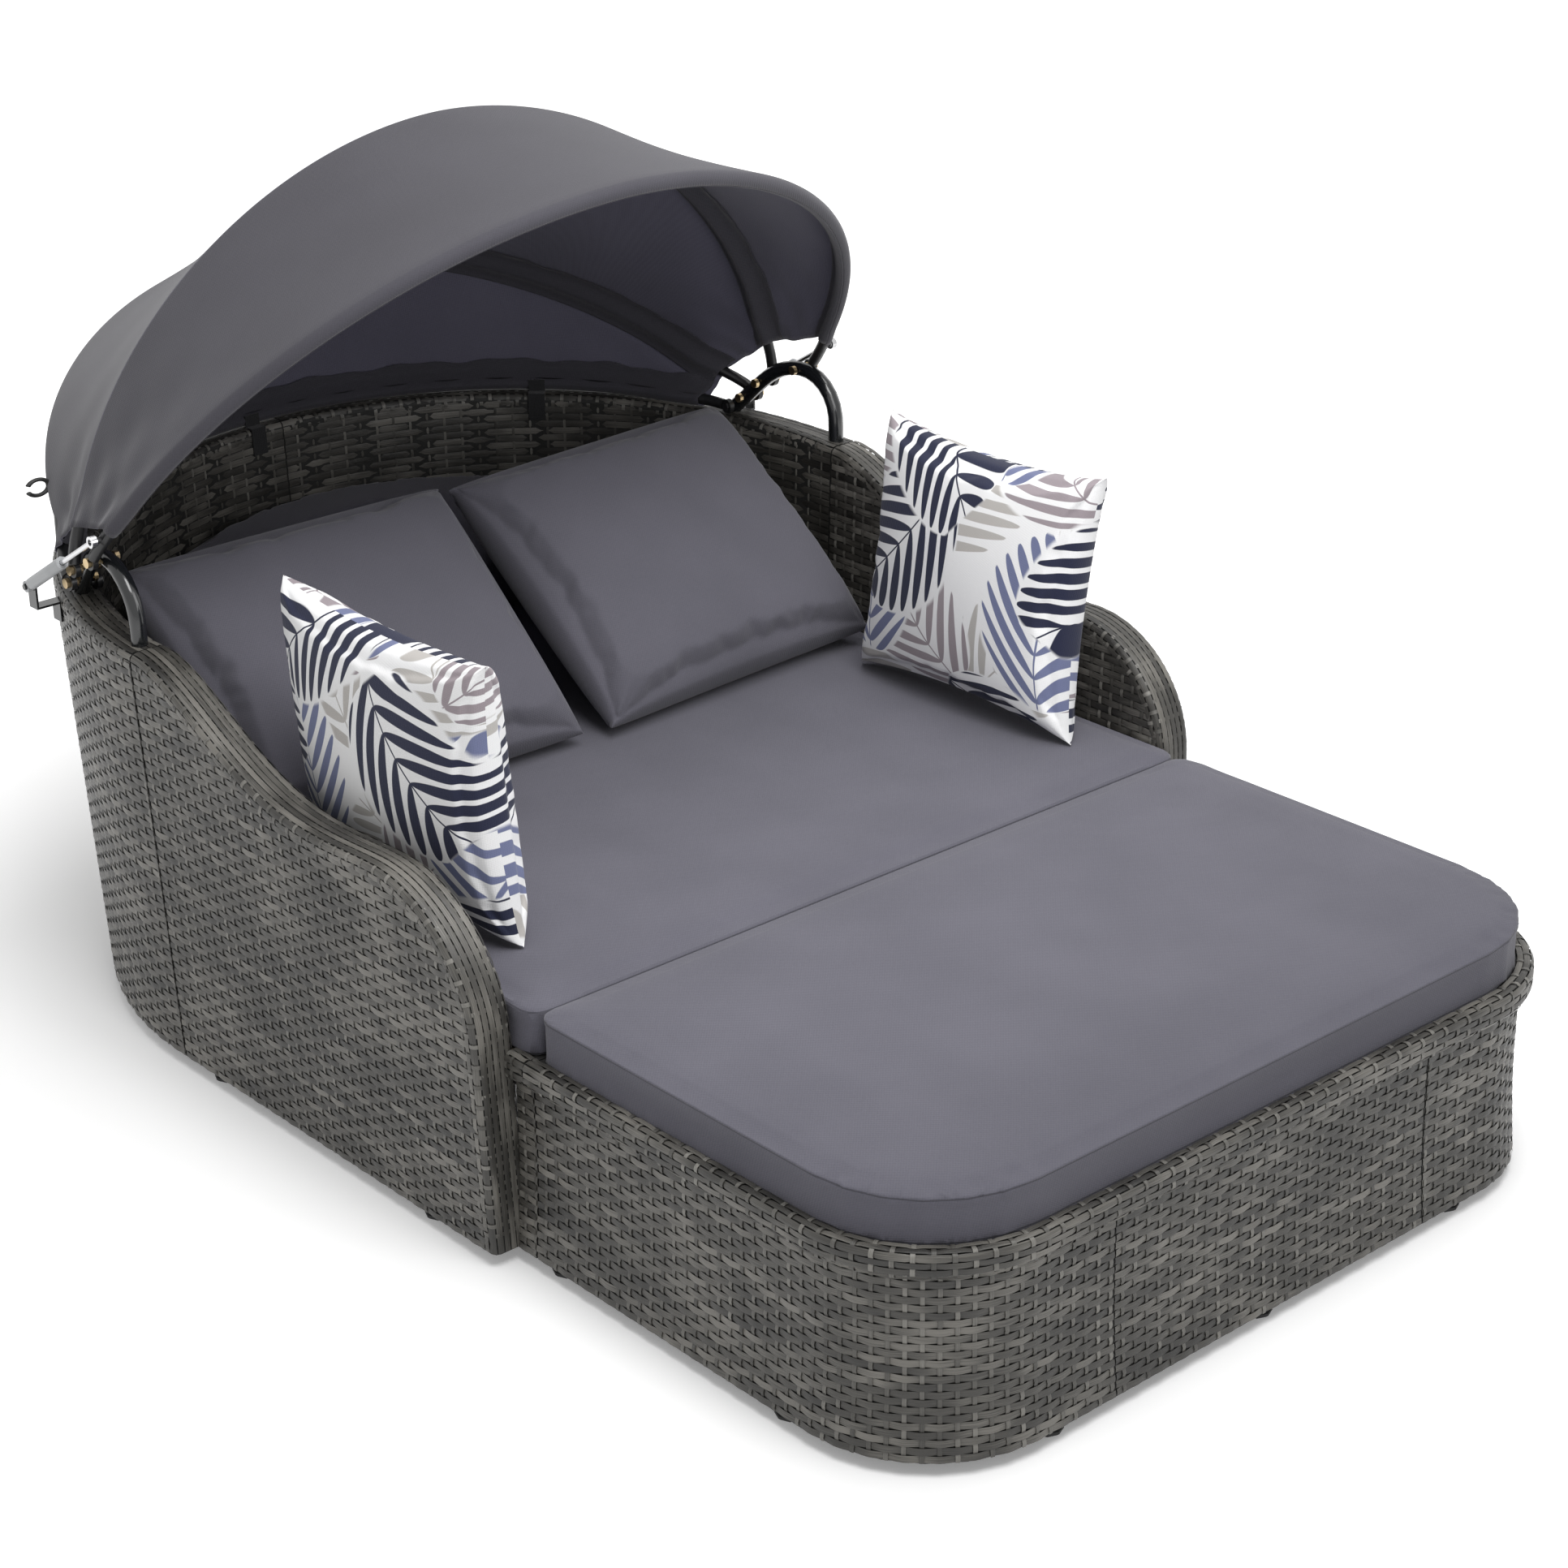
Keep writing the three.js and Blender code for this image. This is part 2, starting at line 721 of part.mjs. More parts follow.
// Moulded glide: a domed foot with a flange under the frame
function glide(name, x, y) {
  const top = wovenFoot - clearance;
  const profile = [
    [0, 0],
    [glideRadius - glideFlange * half, 0],
    [glideRadius, glideFlange * half],
    [glideRadius, glideFlange],
    [glideStemRadius, glideFlange + glideFlange * half],
    [glideStemRadius, top],
    [0, top],
  ];
  const points = profile.map(([radius, height]) => new THREE.Vector2(radius, height));
  const geometry = new THREE.LatheGeometry(points, tubeSides).rotateX(quarter);
  const mesh = piece(name, "glide", geometry);
  mesh.position.set(x, y, 0);
  return mesh;
}

// Crown of a cushion from its edge inwards, as shares of its reach and of its rise
const crownShares = [[1 / 4, 1 / 2], [1 / 2, 3 / 4], [1, 1]];
const crownLevels = [
  [cushionEdge * half, 0],
  ...crownShares.map(([reach, rise]) => [reach * cushionCrownReach, rise * cushionCrown]),
];

// Rise of the crown at an inset from the cushion's edge
function crownRise(inset) {
  const next = crownLevels.findIndex(([reach]) => reach >= inset);
  if (next < 1) return next < 0 ? cushionCrown : 0;
  const [[before, low], [after, high]] = crownLevels.slice(next - 1, next + 1);
  return mix(low, high, (inset - before) / (after - before));
}

// Boxed cushion: drawn-in sides and a crowned top over a plan outline
function cushionSolid(outline, foot, top) {
  const levels = [
    [foot, cushionEdge * half, 0],
    [foot + cushionEdge * half, 0, 0],
    [mix(foot, top, half), 0, cushionDrawIn],
    [top - cushionEdge * half, 0, 0],
    ...crownLevels.map(([inset, rise]) => [top + rise, inset, 0]),
  ];
  return loft(levels.map(([height, inset, drawn]) =>
    outline(inset, drawn).map(([x, y]) => new THREE.Vector3(x, y, height))));
}

// Points between two ends of a straight edge, drawn in by a depth in the middle
function drawnEdge(from, to, steps, depth, inward) {
  return Array.from({ length: steps - 1 }, (_, i) => {
    const share = (i + 1) / steps;
    const pull = depth * Math.sin(share * Math.PI);
    return [mix(from[0], to[0], share) + inward[0] * pull, mix(from[1], to[1], share) + inward[1] * pull];
  });
}

function seatCushionOutline(inset, drawn) {
  const reach = cushionHalfWidth - inset;
  const front = partingGap * half + inset;
  const corner = Math.max(cushionSquareCorner - inset, cushionEdge * half);
  const left = arcPoints(-reach + corner, front + corner, corner, Math.PI, Math.PI + quarter, edgeSteps);
  const right = arcPoints(reach - corner, front + corner, corner, -quarter, 0, edgeSteps);
  const back = roundBack(reach);
  return [
    ...left,
    ...drawnEdge(left.at(-1), right[0], cornerSteps, drawn, [0, 1]),
    ...right,
    ...drawnEdge(right.at(-1), back[0], cornerSteps, drawn, [-1, 0]),
    ...back,
    ...drawnEdge(back.at(-1), left[0], cornerSteps, drawn, [1, 0]),
  ];
}

function ottomanCushionOutline(inset, drawn) {
  const reach = cushionHalfWidth - inset;
  const front = ottomanCushionFront + inset;
  const rear = ottomanRear - inset;
  const corner = ottomanCushionCorner - inset;
  const square = Math.max(cushionSquareCorner - inset, cushionEdge * half);
  const left = arcPoints(-reach + corner, front + corner, corner, Math.PI, Math.PI + quarter, cornerSteps);
  const right = arcPoints(reach - corner, front + corner, corner, -quarter, 0, cornerSteps);
  const rearRight = arcPoints(reach - square, rear - square, square, 0, quarter, edgeSteps);
  const rearLeft = arcPoints(-reach + square, rear - square, square, quarter, Math.PI, edgeSteps);
  return [
    ...left,
    ...drawnEdge(left.at(-1), right[0], cornerSteps, drawn, [0, 1]),
    ...right,
    ...drawnEdge(right.at(-1), rearRight[0], cornerSteps, drawn, [-1, 0]),
    ...rearRight,
    ...drawnEdge(rearRight.at(-1), rearLeft[0], cornerSteps, drawn, [0, -1]),
    ...rearLeft,
    ...drawnEdge(rearLeft.at(-1), left[0], cornerSteps, drawn, [1, 0]),
  ];
}

const seatSurface = cushionTop + cushionCrown + clearance;

// Back cushion: a rounded band round the inside of the back wall
function backCushion() {
  const thick = backCushionThickness * half;
  const middle = wallInside(seatSurface) - clearance - thick - wallMiddle;
  const reach = wallMiddle + middle;
  const start = radians(backCushionTurn);
  const corners = Array.from({ length: backSteps * 2 }, (_, i) => i * facet);
  const turns = [start, ...corners.filter((turn) => turn > start && turn < Math.PI - start), Math.PI - start];
  return loft(turns.map((turn, i) => {
    const out = facetOut(turn);
    const tuck = i % (turns.length - 1) ? 0 : backCushionEdge * half;
    const top = mix(backCushionTopAtArm, backCushionTopAtBack, Math.sin(turn) ** 2) - tuck;
    const section = cushionSection(thick - tuck, seatSurface, top, backCushionEdge - tuck);
    return section.map(([offset, height]) => {
      const place = reach + offset + tuck;
      return new THREE.Vector3(out.x * place, backCentre + out.y * place, height);
    });
  }));
}

// Rounded section of a standing cushion, its front face full between its seams
function cushionSection(halfWidth, foot, top, edge) {
  const points = wallSection(halfWidth - backCushionRelief, foot + cushionEdge, top, edge);
  const front = [-halfWidth, mix(foot, top, half)];
  const feet = [[halfWidth - cushionEdge, foot], [-halfWidth + cushionEdge, foot]];
  return [front, ...points.slice(1), ...feet, [-halfWidth + backCushionRelief, foot + cushionEdge]];
}

// Pillow in its own frame: wide along X, standing along Z from zero, thick along Y
function pillowSolid(width, height, thickness, drawIn) {
  const rings = [];
  for (let j = 0; j <= pillowSteps; j++) {
    const v = Math.sin(mix(-quarter, quarter, j / pillowSteps));
    const ring = [];
    for (let face = -1; face <= 1; face += 2)
      for (let i = 0; i <= pillowSteps; i++) {
        const u = Math.sin(mix(-quarter, quarter, i / pillowSteps)) * -face;
        const x = u * (width * half - drawIn * (1 - v * v));
        const z = v * (height * half - drawIn * (1 - u * u));
        const full = ((1 - u * u) * (1 - v * v)) ** pillowFullness;
        ring.push(new THREE.Vector3(x, face * (pillowSeam + (thickness * half - pillowSeam) * full), z));
      }
    rings.push(ring);
  }
  return loft(rings);
}

// Pillow with its foot at a plan place, turned about Z, tilted back and laid on the seat cushion
function placedPillow(name, finish, geometry, height, [x, y], turn, tilt) {
  const mesh = piece(name, finish, geometry);
  mesh.position.z = height * half;
  const leaning = new THREE.Group().add(mesh);
  leaning.rotation.x = -radians(tilt);
  const standing = new THREE.Group().add(leaning);
  standing.rotation.z = turn;
  standing.position.set(x, y, 0);
  const seat = cushionTop + crownRise(cushionHalfWidth - Math.abs(x)) + clearance;
  standing.position.z = seat - new THREE.Box3().setFromObject(standing, true).min.z;
  return standing;
}

// Plan place of the wall's middle line, on the round part, seen from one side
const rimMiddle = (height) => wallMiddle + lean(height);
const rimAcross = (y, height) =>
  Math.sqrt(rimMiddle(height) ** 2 - Math.max(y - backCentre, 0) ** 2);

// Side line of the arch in the upright plane, as places of Y and Z
const archFoot = backCentre + archSetback;
const archBendHeight = rimAtArm + archRise;
const archTopY = archFoot + archFrontBend;
const archTopZ = archBendHeight + archFrontBend;
const archSlopeAngle = radians(archSlope);
const archSlopeStart = [
  archTopY + archRearBend * Math.sin(archSlopeAngle),
  archTopZ - archRearBend * (1 - Math.cos(archSlopeAngle)),
];
const archSlopePoint = (along) => [
  archSlopeStart[0] + along * Math.cos(archSlopeAngle),
  archSlopeStart[1] - along * Math.sin(archSlopeAngle),
];

function archSide(extra) {
  const side = [[archFoot, rimAtArm - archSocket - extra], [archFoot, rimAtArm]];
  for (let i = 0; i <= cornerSteps; i++) {
    const angle = (i / cornerSteps) * quarter;
    side.push([archTopY - archFrontBend * Math.cos(angle), archBendHeight + archFrontBend * Math.sin(angle)]);
  }
  for (let i = 1; i <= edgeSteps; i++) {
    const angle = (i / edgeSteps) * archSlopeAngle;
    side.push([archTopY + archRearBend * Math.sin(angle), archTopZ - archRearBend * (1 - Math.cos(angle))]);
  }
  const end = archSlopeEnd();
  side.push(archSlopePoint(end * half), archSlopePoint(end), archSlopePoint(end + archSocket + extra));
  return side;
}

// Length of the slope down to the rim's top
function archSlopeEnd() {
  const rim = backTop(Math.asin((archSlopeStart[0] - backCentre) / rimMiddle(rimAtArm)));
  return (archSlopeStart[1] - rim) / Math.sin(archSlopeAngle);
}

function archTube(side, radius, extra) {
  const points = archSide(extra).map(([y, z]) =>
    new THREE.Vector3(side * rimAcross(y, rimAtArm), y, z));
  return tube(points, radius, archSteps);
}

// Pivots of the hoops on the arch
const frontPivotAngle = radians(frontPivotTurn);
const pivots = {
  front: [
    archTopY + archRearBend * Math.sin(frontPivotAngle),
    archTopZ - archRearBend * (1 - Math.cos(frontPivotAngle)),
  ],
  middle: archSlopePoint(middlePivotAlong),
  third: archSlopePoint(thirdPivotAlong),
  rear: archSlopePoint(rearPivotAlong),
};

const rearHoopReach = backCentre + rimMiddle(rimAtBack) - rearHoopInset - pivots.rear[0];
const hoops = {
  front: hoop("front", frontHoopReach, frontHoopDraw, frontHoopAngle, 1),
  middle: hoop("middle", middleHoopReach, middleHoopDraw, middleHoopAngle, 1),
  third: hoop("third", thirdHoopReach, thirdHoopDraw, thirdHoopAngle, 1),
  rear: hoop("rear", rearHoopReach, rearHoopDraw, rearHoopAngle, -1),
};

// A hoop's shoulders lie inside its eyes by its draw
function hoop(name, reach, draw, angle, outward) {
  const pivot = pivots[name];
  const across = rimAcross(pivot[0], rimAtArm) + outward * hoopOffset;
  return { name, pivot, reach, halfWidth: across - draw, open: radians(angle), across, outward };
}

// Point of a hoop in its own plane: across and out from the pivot line
function hoopFlat({ reach, halfWidth, across }, t) {
  const out = reach * Math.max(Math.sin(t), 0) ** (2 / hoopPower);
  const wide = halfWidth * Math.abs(Math.cos(t)) ** (2 / hoopPower);
  const settle = smooth(Math.min(out / hoopSettle, 1));
  return [Math.sign(Math.cos(t)) * mix(across, wide, settle), out];
}

function hoopPoint(bow, t) {
  const [x, out] = hoopFlat(bow, t);
  return new THREE.Vector3(
    x, bow.pivot[0] + out * Math.cos(bow.open), bow.pivot[1] + out * Math.sin(bow.open),
  );
}

// Places along a hoop: its two legs and the stretch that the fabric covers
const fabricPlaces = Array.from({ length: fabricSteps + 1 }, (_, i) =>
  mix(fabricStart, Math.PI - fabricStart, i / fabricSteps));

function hoopPlaces(bow) {
  const start = Math.asin((hoopLegStart / bow.reach) ** (hoopPower * half));
  const leg = Array.from({ length: hoopLegSteps }, (_, i) => mix(start, fabricStart, i / hoopLegSteps));
  return [...leg, ...fabricPlaces, ...leg.map((t) => Math.PI - t).reverse()];
}

// Tube of a hoop with flattened eyes, in its own plane: across along X, out along Z
function hoopSolid(bow) {
  const line = hoopPlaces(bow).map((t) => hoopFlat(bow, t));
  const rings = line.map(([x, out], i) => {
    const before = line[Math.max(i - 1, 0)];
    const after = line[Math.min(i + 1, line.length - 1)];
    const run = new THREE.Vector2(after[0] - before[0], after[1] - before[1]).normalize();
    return Array.from({ length: tubeSides }, (_, k) => {
      const angle = ((k + half) * Math.PI * 2) / tubeSides;
      const up = hoopRadius * Math.cos(angle);
      return new THREE.Vector3(x - run.y * up, hoopRadius * Math.sin(angle), out + run.x * up);
    });
  });
  const ends = [-1, 1];
  const eyes = ends.map((side) =>
    barAcross(hoopEyeRadius, side * bow.across, hoopEyeThickness, roundSteps));
  const solid = join(loft(rings), ...eyes, ...hoopExtras(bow));
  if (bow.outward < 0) return solid;
  return cut(solid, ...ends.map((side) =>
    holeAcross(boltRadius, side * bow.across, hoopEyeThickness + overrun)));
}

// Round bar along X about a place, and the cutter of a hole whose flats clear a pin
function barAcross(radius, x, length, sides) {
  return new THREE.CylinderGeometry(radius, radius, length, sides).rotateZ(quarter).translate(x, 0, 0);
}

const holeRadius = (pin) => (pin + clearance) / Math.cos(Math.PI / tubeSides);
const holeAcross = (pin, x, length) => barAcross(holeRadius(pin), x, length, tubeSides);

// Strut studs on the front hoop, and the fixed bolts that hold the rear hoop
function hoopExtras(bow) {
  const ends = [-1, 1];
  if (bow.name === "front") {
    const leg = Math.asin((strutStudAlong / bow.reach) ** (hoopPower * half));
    const inner = hoopFlat(bow, leg)[0];
    const outer = strutAside - strutEyeThickness * half - clearance;
    return ends.map((side) =>
      barAcross(strutStudRadius, side * (inner + outer) * half, outer - inner, roundSteps)
        .translate(0, 0, strutStudAlong));
  }
  if (bow.outward > 0) return [];
  const outer = rimAcross(bow.pivot[0], rimAtArm) + archRadius + clearance;
  const shank = outer + overrun - bow.across;
  return ends.flatMap((side) => [
    barAcross(boltRadius, side * (bow.across + shank * half), shank, roundSteps),
    barAcross(boltHeadRadius, side * (outer + boltHeadThickness * half), boltHeadThickness, cornerSteps),
    barAcross(boltHeadRadius, side * (bow.across - hoopEyeThickness * half), boltNutThickness, cornerSteps),
  ]);
}

function placedHoop(bow, name) {
  const mesh = piece(name, "hoop", hoopSolid(bow));
  const turnedGroup = new THREE.Group().add(mesh);
  turnedGroup.rotation.x = bow.open - quarter;
  turnedGroup.position.set(0, ...bow.pivot);
  return turnedGroup;
}

// Long bolt through the arch and a hoop's eye: nut, shank, collar, shank and head
function pivotBolt(name, bow, side) {
  const arch = rimAcross(bow.pivot[0], rimAtArm);
  const collarStart = arch + archRadius + clearance;
  const eyeStart = bow.across - hoopEyeThickness * half - clearance;
  const headStart = bow.across + hoopEyeThickness * half + clearance;
  const nutEnd = arch - archRadius - clearance;
  const profile = [
    [0, nutEnd - boltNutThickness],
    [boltHeadRadius, nutEnd - boltNutThickness],
    [boltHeadRadius, nutEnd],
    [boltRadius, nutEnd],
    [boltRadius, collarStart],
    [boltCollarRadius, collarStart],
    [boltCollarRadius, eyeStart],
    [boltRadius, eyeStart],
    [boltRadius, headStart],
    [boltHeadRadius, headStart],
    [boltHeadRadius, headStart + boltHeadThickness],
    [0, headStart + boltHeadThickness],
  ];
  const mesh = piece(name, "bolt", turned(profile, boltSides));
  mesh.position.set(0, ...bow.pivot);
  mesh.rotation.y = side > 0 ? 0 : Math.PI;
  return mesh;
}

// Bolt holes through one arch, each with a flat face on both sides
function archBores(side) {
  return Object.values(hoops).flatMap((bow) => {
    const arch = rimAcross(bow.pivot[0], rimAtArm);
    const faceReach = archRadius + overrun * half;
    return [
      holeAcross(boltRadius, side * arch, (archRadius + overrun) * 2),
      holeAcross(boltCollarRadius, side * (arch + faceReach), overrun),
      holeAcross(boltCollarRadius, side * (arch - faceReach), overrun),
    ].map((cutter) => cutter.translate(0, ...bow.pivot));
  });
}

// Place on a fabric panel between two hoops, and its directions along the hoop and across the panel
function panelPlace(from, to, t, share) {
  return hoopPoint(from, t).lerp(hoopPoint(to, t), share);
}

function panelFrame(from, to, t, share) {
  const small = fabricStart * half * half;
  const before = panelPlace(from, to, t - small, share);
  const along = panelPlace(from, to, t + small, share).sub(before).normalize();
  const across = hoopPoint(to, t).sub(hoopPoint(from, t));
  const normal = across.clone().cross(along).normalize();
  return { along, normal, across: normal.clone().cross(along).negate().normalize() };
}

// Angle from one panel's face to the bisector of the two panels that meet at a hoop
function seamTurn(before, shared, after, t) {
  const first = panelFrame(before, shared, t, 1).normal;
  const second = panelFrame(shared, after, t, 0).normal;
  return Math.max(first.angleTo(second) * half - fabricSeamGap / (hoopRadius + fabricFit), 0);
}

// Run of fabric round a hoop at an end of a panel
function fabricTurn(centre, frame, towards, angle, steps, depth) {
  const reach = (hoopRadius + fabricFit) / Math.cos((angle / steps) * half) + depth;
  return Array.from({ length: steps }, (_, i) => {
    const turn = (angle * (steps - i)) / steps;
    return centre.clone()
      .addScaledVector(frame.normal, reach * Math.cos(turn))
      .addScaledVector(frame.across, towards * reach * Math.sin(turn));
  });
}

// Line of one side of the fabric at a place t, from hem or seam to seam or hem
function fabricLine(panel, t, depth) {
  const { from, to } = panel;
  const startFrame = panelFrame(from, to, t, 0);
  const endFrame = panelFrame(from, to, t, 1);
  const startTurn = panel.before ? seamTurn(panel.before, from, to, t) : radians(frontHemTurn);
  const endTurn = panel.after ? seamTurn(from, to, panel.after, t) : radians(rearHemTurn);
  const hemSteps = (joined) => (joined ? 1 : edgeSteps + 1);
  const start = fabricTurn(hoopPoint(from, t), startFrame, -1, startTurn, hemSteps(panel.before), depth);
  const end = fabricTurn(hoopPoint(to, t), endFrame, 1, endTurn, hemSteps(panel.after), depth);
  const middle = Array.from({ length: fabricPanelSteps + 1 }, (_, i) => {
    const share = i / fabricPanelSteps;
    const lift = hoopRadius + fabricFit + depth + fabricPuff * Math.sin(share * Math.PI) * Math.sin(t);
    return panelPlace(from, to, t, share).addScaledVector(panelFrame(from, to, t, share).normal, lift);
  });
  return [...start, ...middle, ...end.reverse()];
}

function fabricPanel(panel) {
  return loft(fabricPlaces.map((t) =>
    [...fabricLine(panel, t, fabricThickness), ...fabricLine(panel, t, 0).reverse()]));
}

// Gas strut in its own frame, along Z from its foot eye: eyes, a bored cylinder and a rod
function strutEye(place) {
  return barAcross(strutEyeRadius, 0, strutEyeThickness, roundSteps).translate(0, 0, place);
}

const eyeBore = (pin, place) => holeAcross(pin, 0, strutEyeThickness + overrun).translate(0, 0, place);

function upright(radius, bottom, top) {
  const geometry = new THREE.CylinderGeometry(radius, radius, top - bottom, roundSteps - cornerSteps);
  return geometry.rotateX(quarter).translate(0, 0, (bottom + top) * half);
}

function strutBody() {
  const neck = upright(strutNeckRadius, strutEyeRadius * half, strutBodyStart + clearance);
  const body = upright(strutBodyRadius, strutBodyStart, strutBodyEnd);
  const bore = upright(strutRodRadius + clearance, strutBodyEnd - strutBore, strutBodyEnd + overrun);
  return cut(join(strutEye(0), neck, body), eyeBore(strutRodRadius, 0), bore);
}

const strutFoot = [strutFootBack, strutFootHeight];
const studPlace = [
  hoops.front.pivot[0] + strutStudAlong * Math.cos(hoops.front.open),
  hoops.front.pivot[1] + strutStudAlong * Math.sin(hoops.front.open),
];
const strutLength = Math.hypot(studPlace[0] - strutFoot[0], studPlace[1] - strutFoot[1]);
const strutAngle = Math.atan2(studPlace[1] - strutFoot[1], studPlace[0] - strutFoot[0]);

function strutRod() {
  const rod = upright(strutRodRadius, strutBodyEnd - strutRodLap, strutLength - strutEyeRadius * half);
  const neck = upright(strutNeckRadius, strutLength - strutBodyStart, strutLength - strutEyeRadius * half);
  return cut(join(rod, neck, strutEye(strutLength)), eyeBore(strutStudRadius, strutLength));
}

function placedStrut(side, name, finish, geometry) {
  const mesh = piece(name, finish, geometry);
  const group = new THREE.Group().add(mesh);
  group.rotation.x = strutAngle - quarter;
  group.position.set(side * strutAside, ...strutFoot);
  return group;
}

// Bent flat bracket from the wall's outer face up to the strut's foot, with its pin
function strutBracket(side) {
  const plateInner = strutAside - strutEyeThickness * half - clearance - bracketThickness;
  const low = strutFootHeight - bracketDrop;
  const reach = bracketWidth * half;
  const wall = rimMiddle(low) + wallThickness * half;
  const wallAt = Math.sqrt(wall ** 2 - (strutFootBack + reach - backCentre) ** 2);
  const arm = block(
    [wallAt - bracketThickness, -reach, -bracketDrop],
    [plateInner + bracketThickness, reach, bracketThickness - bracketDrop],
  );
  const upstand = block([plateInner, -reach, -bracketDrop], [plateInner + bracketThickness, reach, 0]);
  const head = barAcross(reach, plateInner + bracketThickness * half, bracketThickness, roundSteps);
  const flange = block(
    [wallAt - bracketThickness, -reach, -bracketDrop - bracketFootHeight],
    [wallAt + bracketFlange, reach, bracketThickness - bracketDrop],
  );
  const pinEnd = strutAside + strutEyeThickness * half + bracketThickness;
  const pin = barAcross(strutRodRadius, (plateInner + pinEnd) * half, pinEnd - plateInner, boltSides);
  const whole = join(arm, upstand, head, flange, pin);
  const placed = whole.scale(side, 1, 1).translate(0, ...strutFoot);
  const skin = backStations(side, clearance * half, backLength, 0);
  const seat = wallSolid(skin, wallThickness * half + clearance, wovenFoot, wallEdgeRadius);
  return cut(side < 0 ? flipped(placed) : placed, seat);
}

// Faces turned round after a mirroring
function flipped(geometry) {
  const index = Array.from(geometry.index.array).reverse();
  geometry.setIndex(index);
  return geometry;
}

// Place along a hoop that lies in a plan direction from the centre of the round back
function hoopPlaceTowards(bow, turn) {
  let low = 0;
  let high = Math.PI;
  for (let i = 0; i < halvings; i++) {
    const t = mix(low, high, half);
    const point = hoopPoint(bow, t);
    if (Math.atan2(point.y - backCentre, point.x) < turn) low = t;
    else high = t;
  }
  return hoopPoint(bow, low);
}

// Strap from the inner side of the rear hoop, over the rim's edge and down its inner face
function hemStrap(facetNumber) {
  const turn = (facetNumber + half) * facet;
  const out = facetOut(turn);
  const sideways = new THREE.Vector2(-Math.sin(turn), Math.cos(turn));
  const hoopAt = hoopPlaceTowards(hoops.rear, turn);
  const spread = (strapWidth * half) / wallMiddle;
  const top = Math.max(backTop(turn - spread), backTop(turn + spread)) + clearance;
  const face = -wallThickness * half - clearance * 2;
  const beside = Math.hypot(hoopAt.x, hoopAt.y - backCentre) - rimMiddle(top) - hoopRadius - clearance * 2;
  const line = (depth) => [
    [beside - depth, hoopAt.z + strapLap],
    [beside - depth, top + depth],
    [face - depth, top + depth],
    [face - depth, top - strapDrop],
  ];
  const ring = [...line(0), ...line(strapThickness).reverse()];
  return loft([-half, half].map((share) =>
    ring.map(([offset, height]) => {
      const reach = rimMiddle(height) + offset;
      const shift = share * strapWidth;
      return new THREE.Vector3(
        out.x * reach + sideways.x * shift, backCentre + out.y * reach + sideways.y * shift, height,
      );
    }),
  ));
}

// The whole daybed, with Y zero on the line where the ottoman meets the seat
const daybed = new THREE.Group();
const sides = [["left", -1], ["right", 1]];

for (const [name, side] of sides) {
  const bore = archTube(side, archRadius + clearance, clearance);
  daybed.add(piece(`arm_weave_${name}`, "weave", armWeave(side)));
  daybed.add(piece(`arm_frame_${name}`, "frame", armFrame(side)));
  daybed.add(piece(`back_weave_${name}`, "weave", backWeave(side, bore)));
  daybed.add(piece(`back_frame_${name}`, "frame", backFrame(side, bore)));
  daybed.add(glide(`arm_glide_${name}_front`, side * wallMiddle, armGlideFront));
  daybed.add(glide(`arm_glide_${name}_rear`, side * wallMiddle, armGlideRear));
  const turn = radians(backGlideTurn);
  const glideX = side * wallMiddle * Math.cos(turn);
  daybed.add(glide(`back_glide_${name}`, glideX, backCentre + wallMiddle * Math.sin(turn)));
  daybed.add(piece(`ottoman_corner_${name}`, "weave", ottomanCorner(side)));
  daybed.add(piece(`arch_tube_${name}`, "arch", cut(archTube(side, archRadius, 0), ...archBores(side))));
  for (const key of ["front", "middle", "third"])
    daybed.add(pivotBolt(`${key}_pivot_bolt_${name}`, hoops[key], side));
  daybed.add(placedStrut(side, `strut_cylinder_${name}`, "strut", strutBody()));
  daybed.add(placedStrut(side, `strut_rod_${name}`, "rod", strutRod()));
  daybed.add(piece(`strut_bracket_${name}`, "bolt", strutBracket(side)));
}

daybed.add(piece("seat_apron", "weave", seatApron()));
daybed.add(piece("seat_frame", "frame", seatFrame()));
daybed.add(piece("seat_deck", "deck", seatDeck()));
daybed.add(piece("ottoman_front", "weave", ottomanFrontPanel()));
daybed.add(piece("ottoman_rear", "weave", ottomanRearPanel()));
daybed.add(piece("ottoman_top", "weave", ottomanTop()));
daybed.add(piece("ottoman_frame", "frame", ottomanFrame()));
for (const [name, x, y] of ottomanGlides) daybed.add(glide(`ottoman_glide_${name}`, x, y));

daybed.add(piece("seat_cushion", "cushion", cushionSolid(seatCushionOutline, cushionFoot, cushionTop)));
daybed.add(piece("ottoman_cushion", "cushion", cushionSolid(ottomanCushionOutline, cushionFoot, cushionTop)));
daybed.add(piece("back_cushion", "cushion", backCushion()));

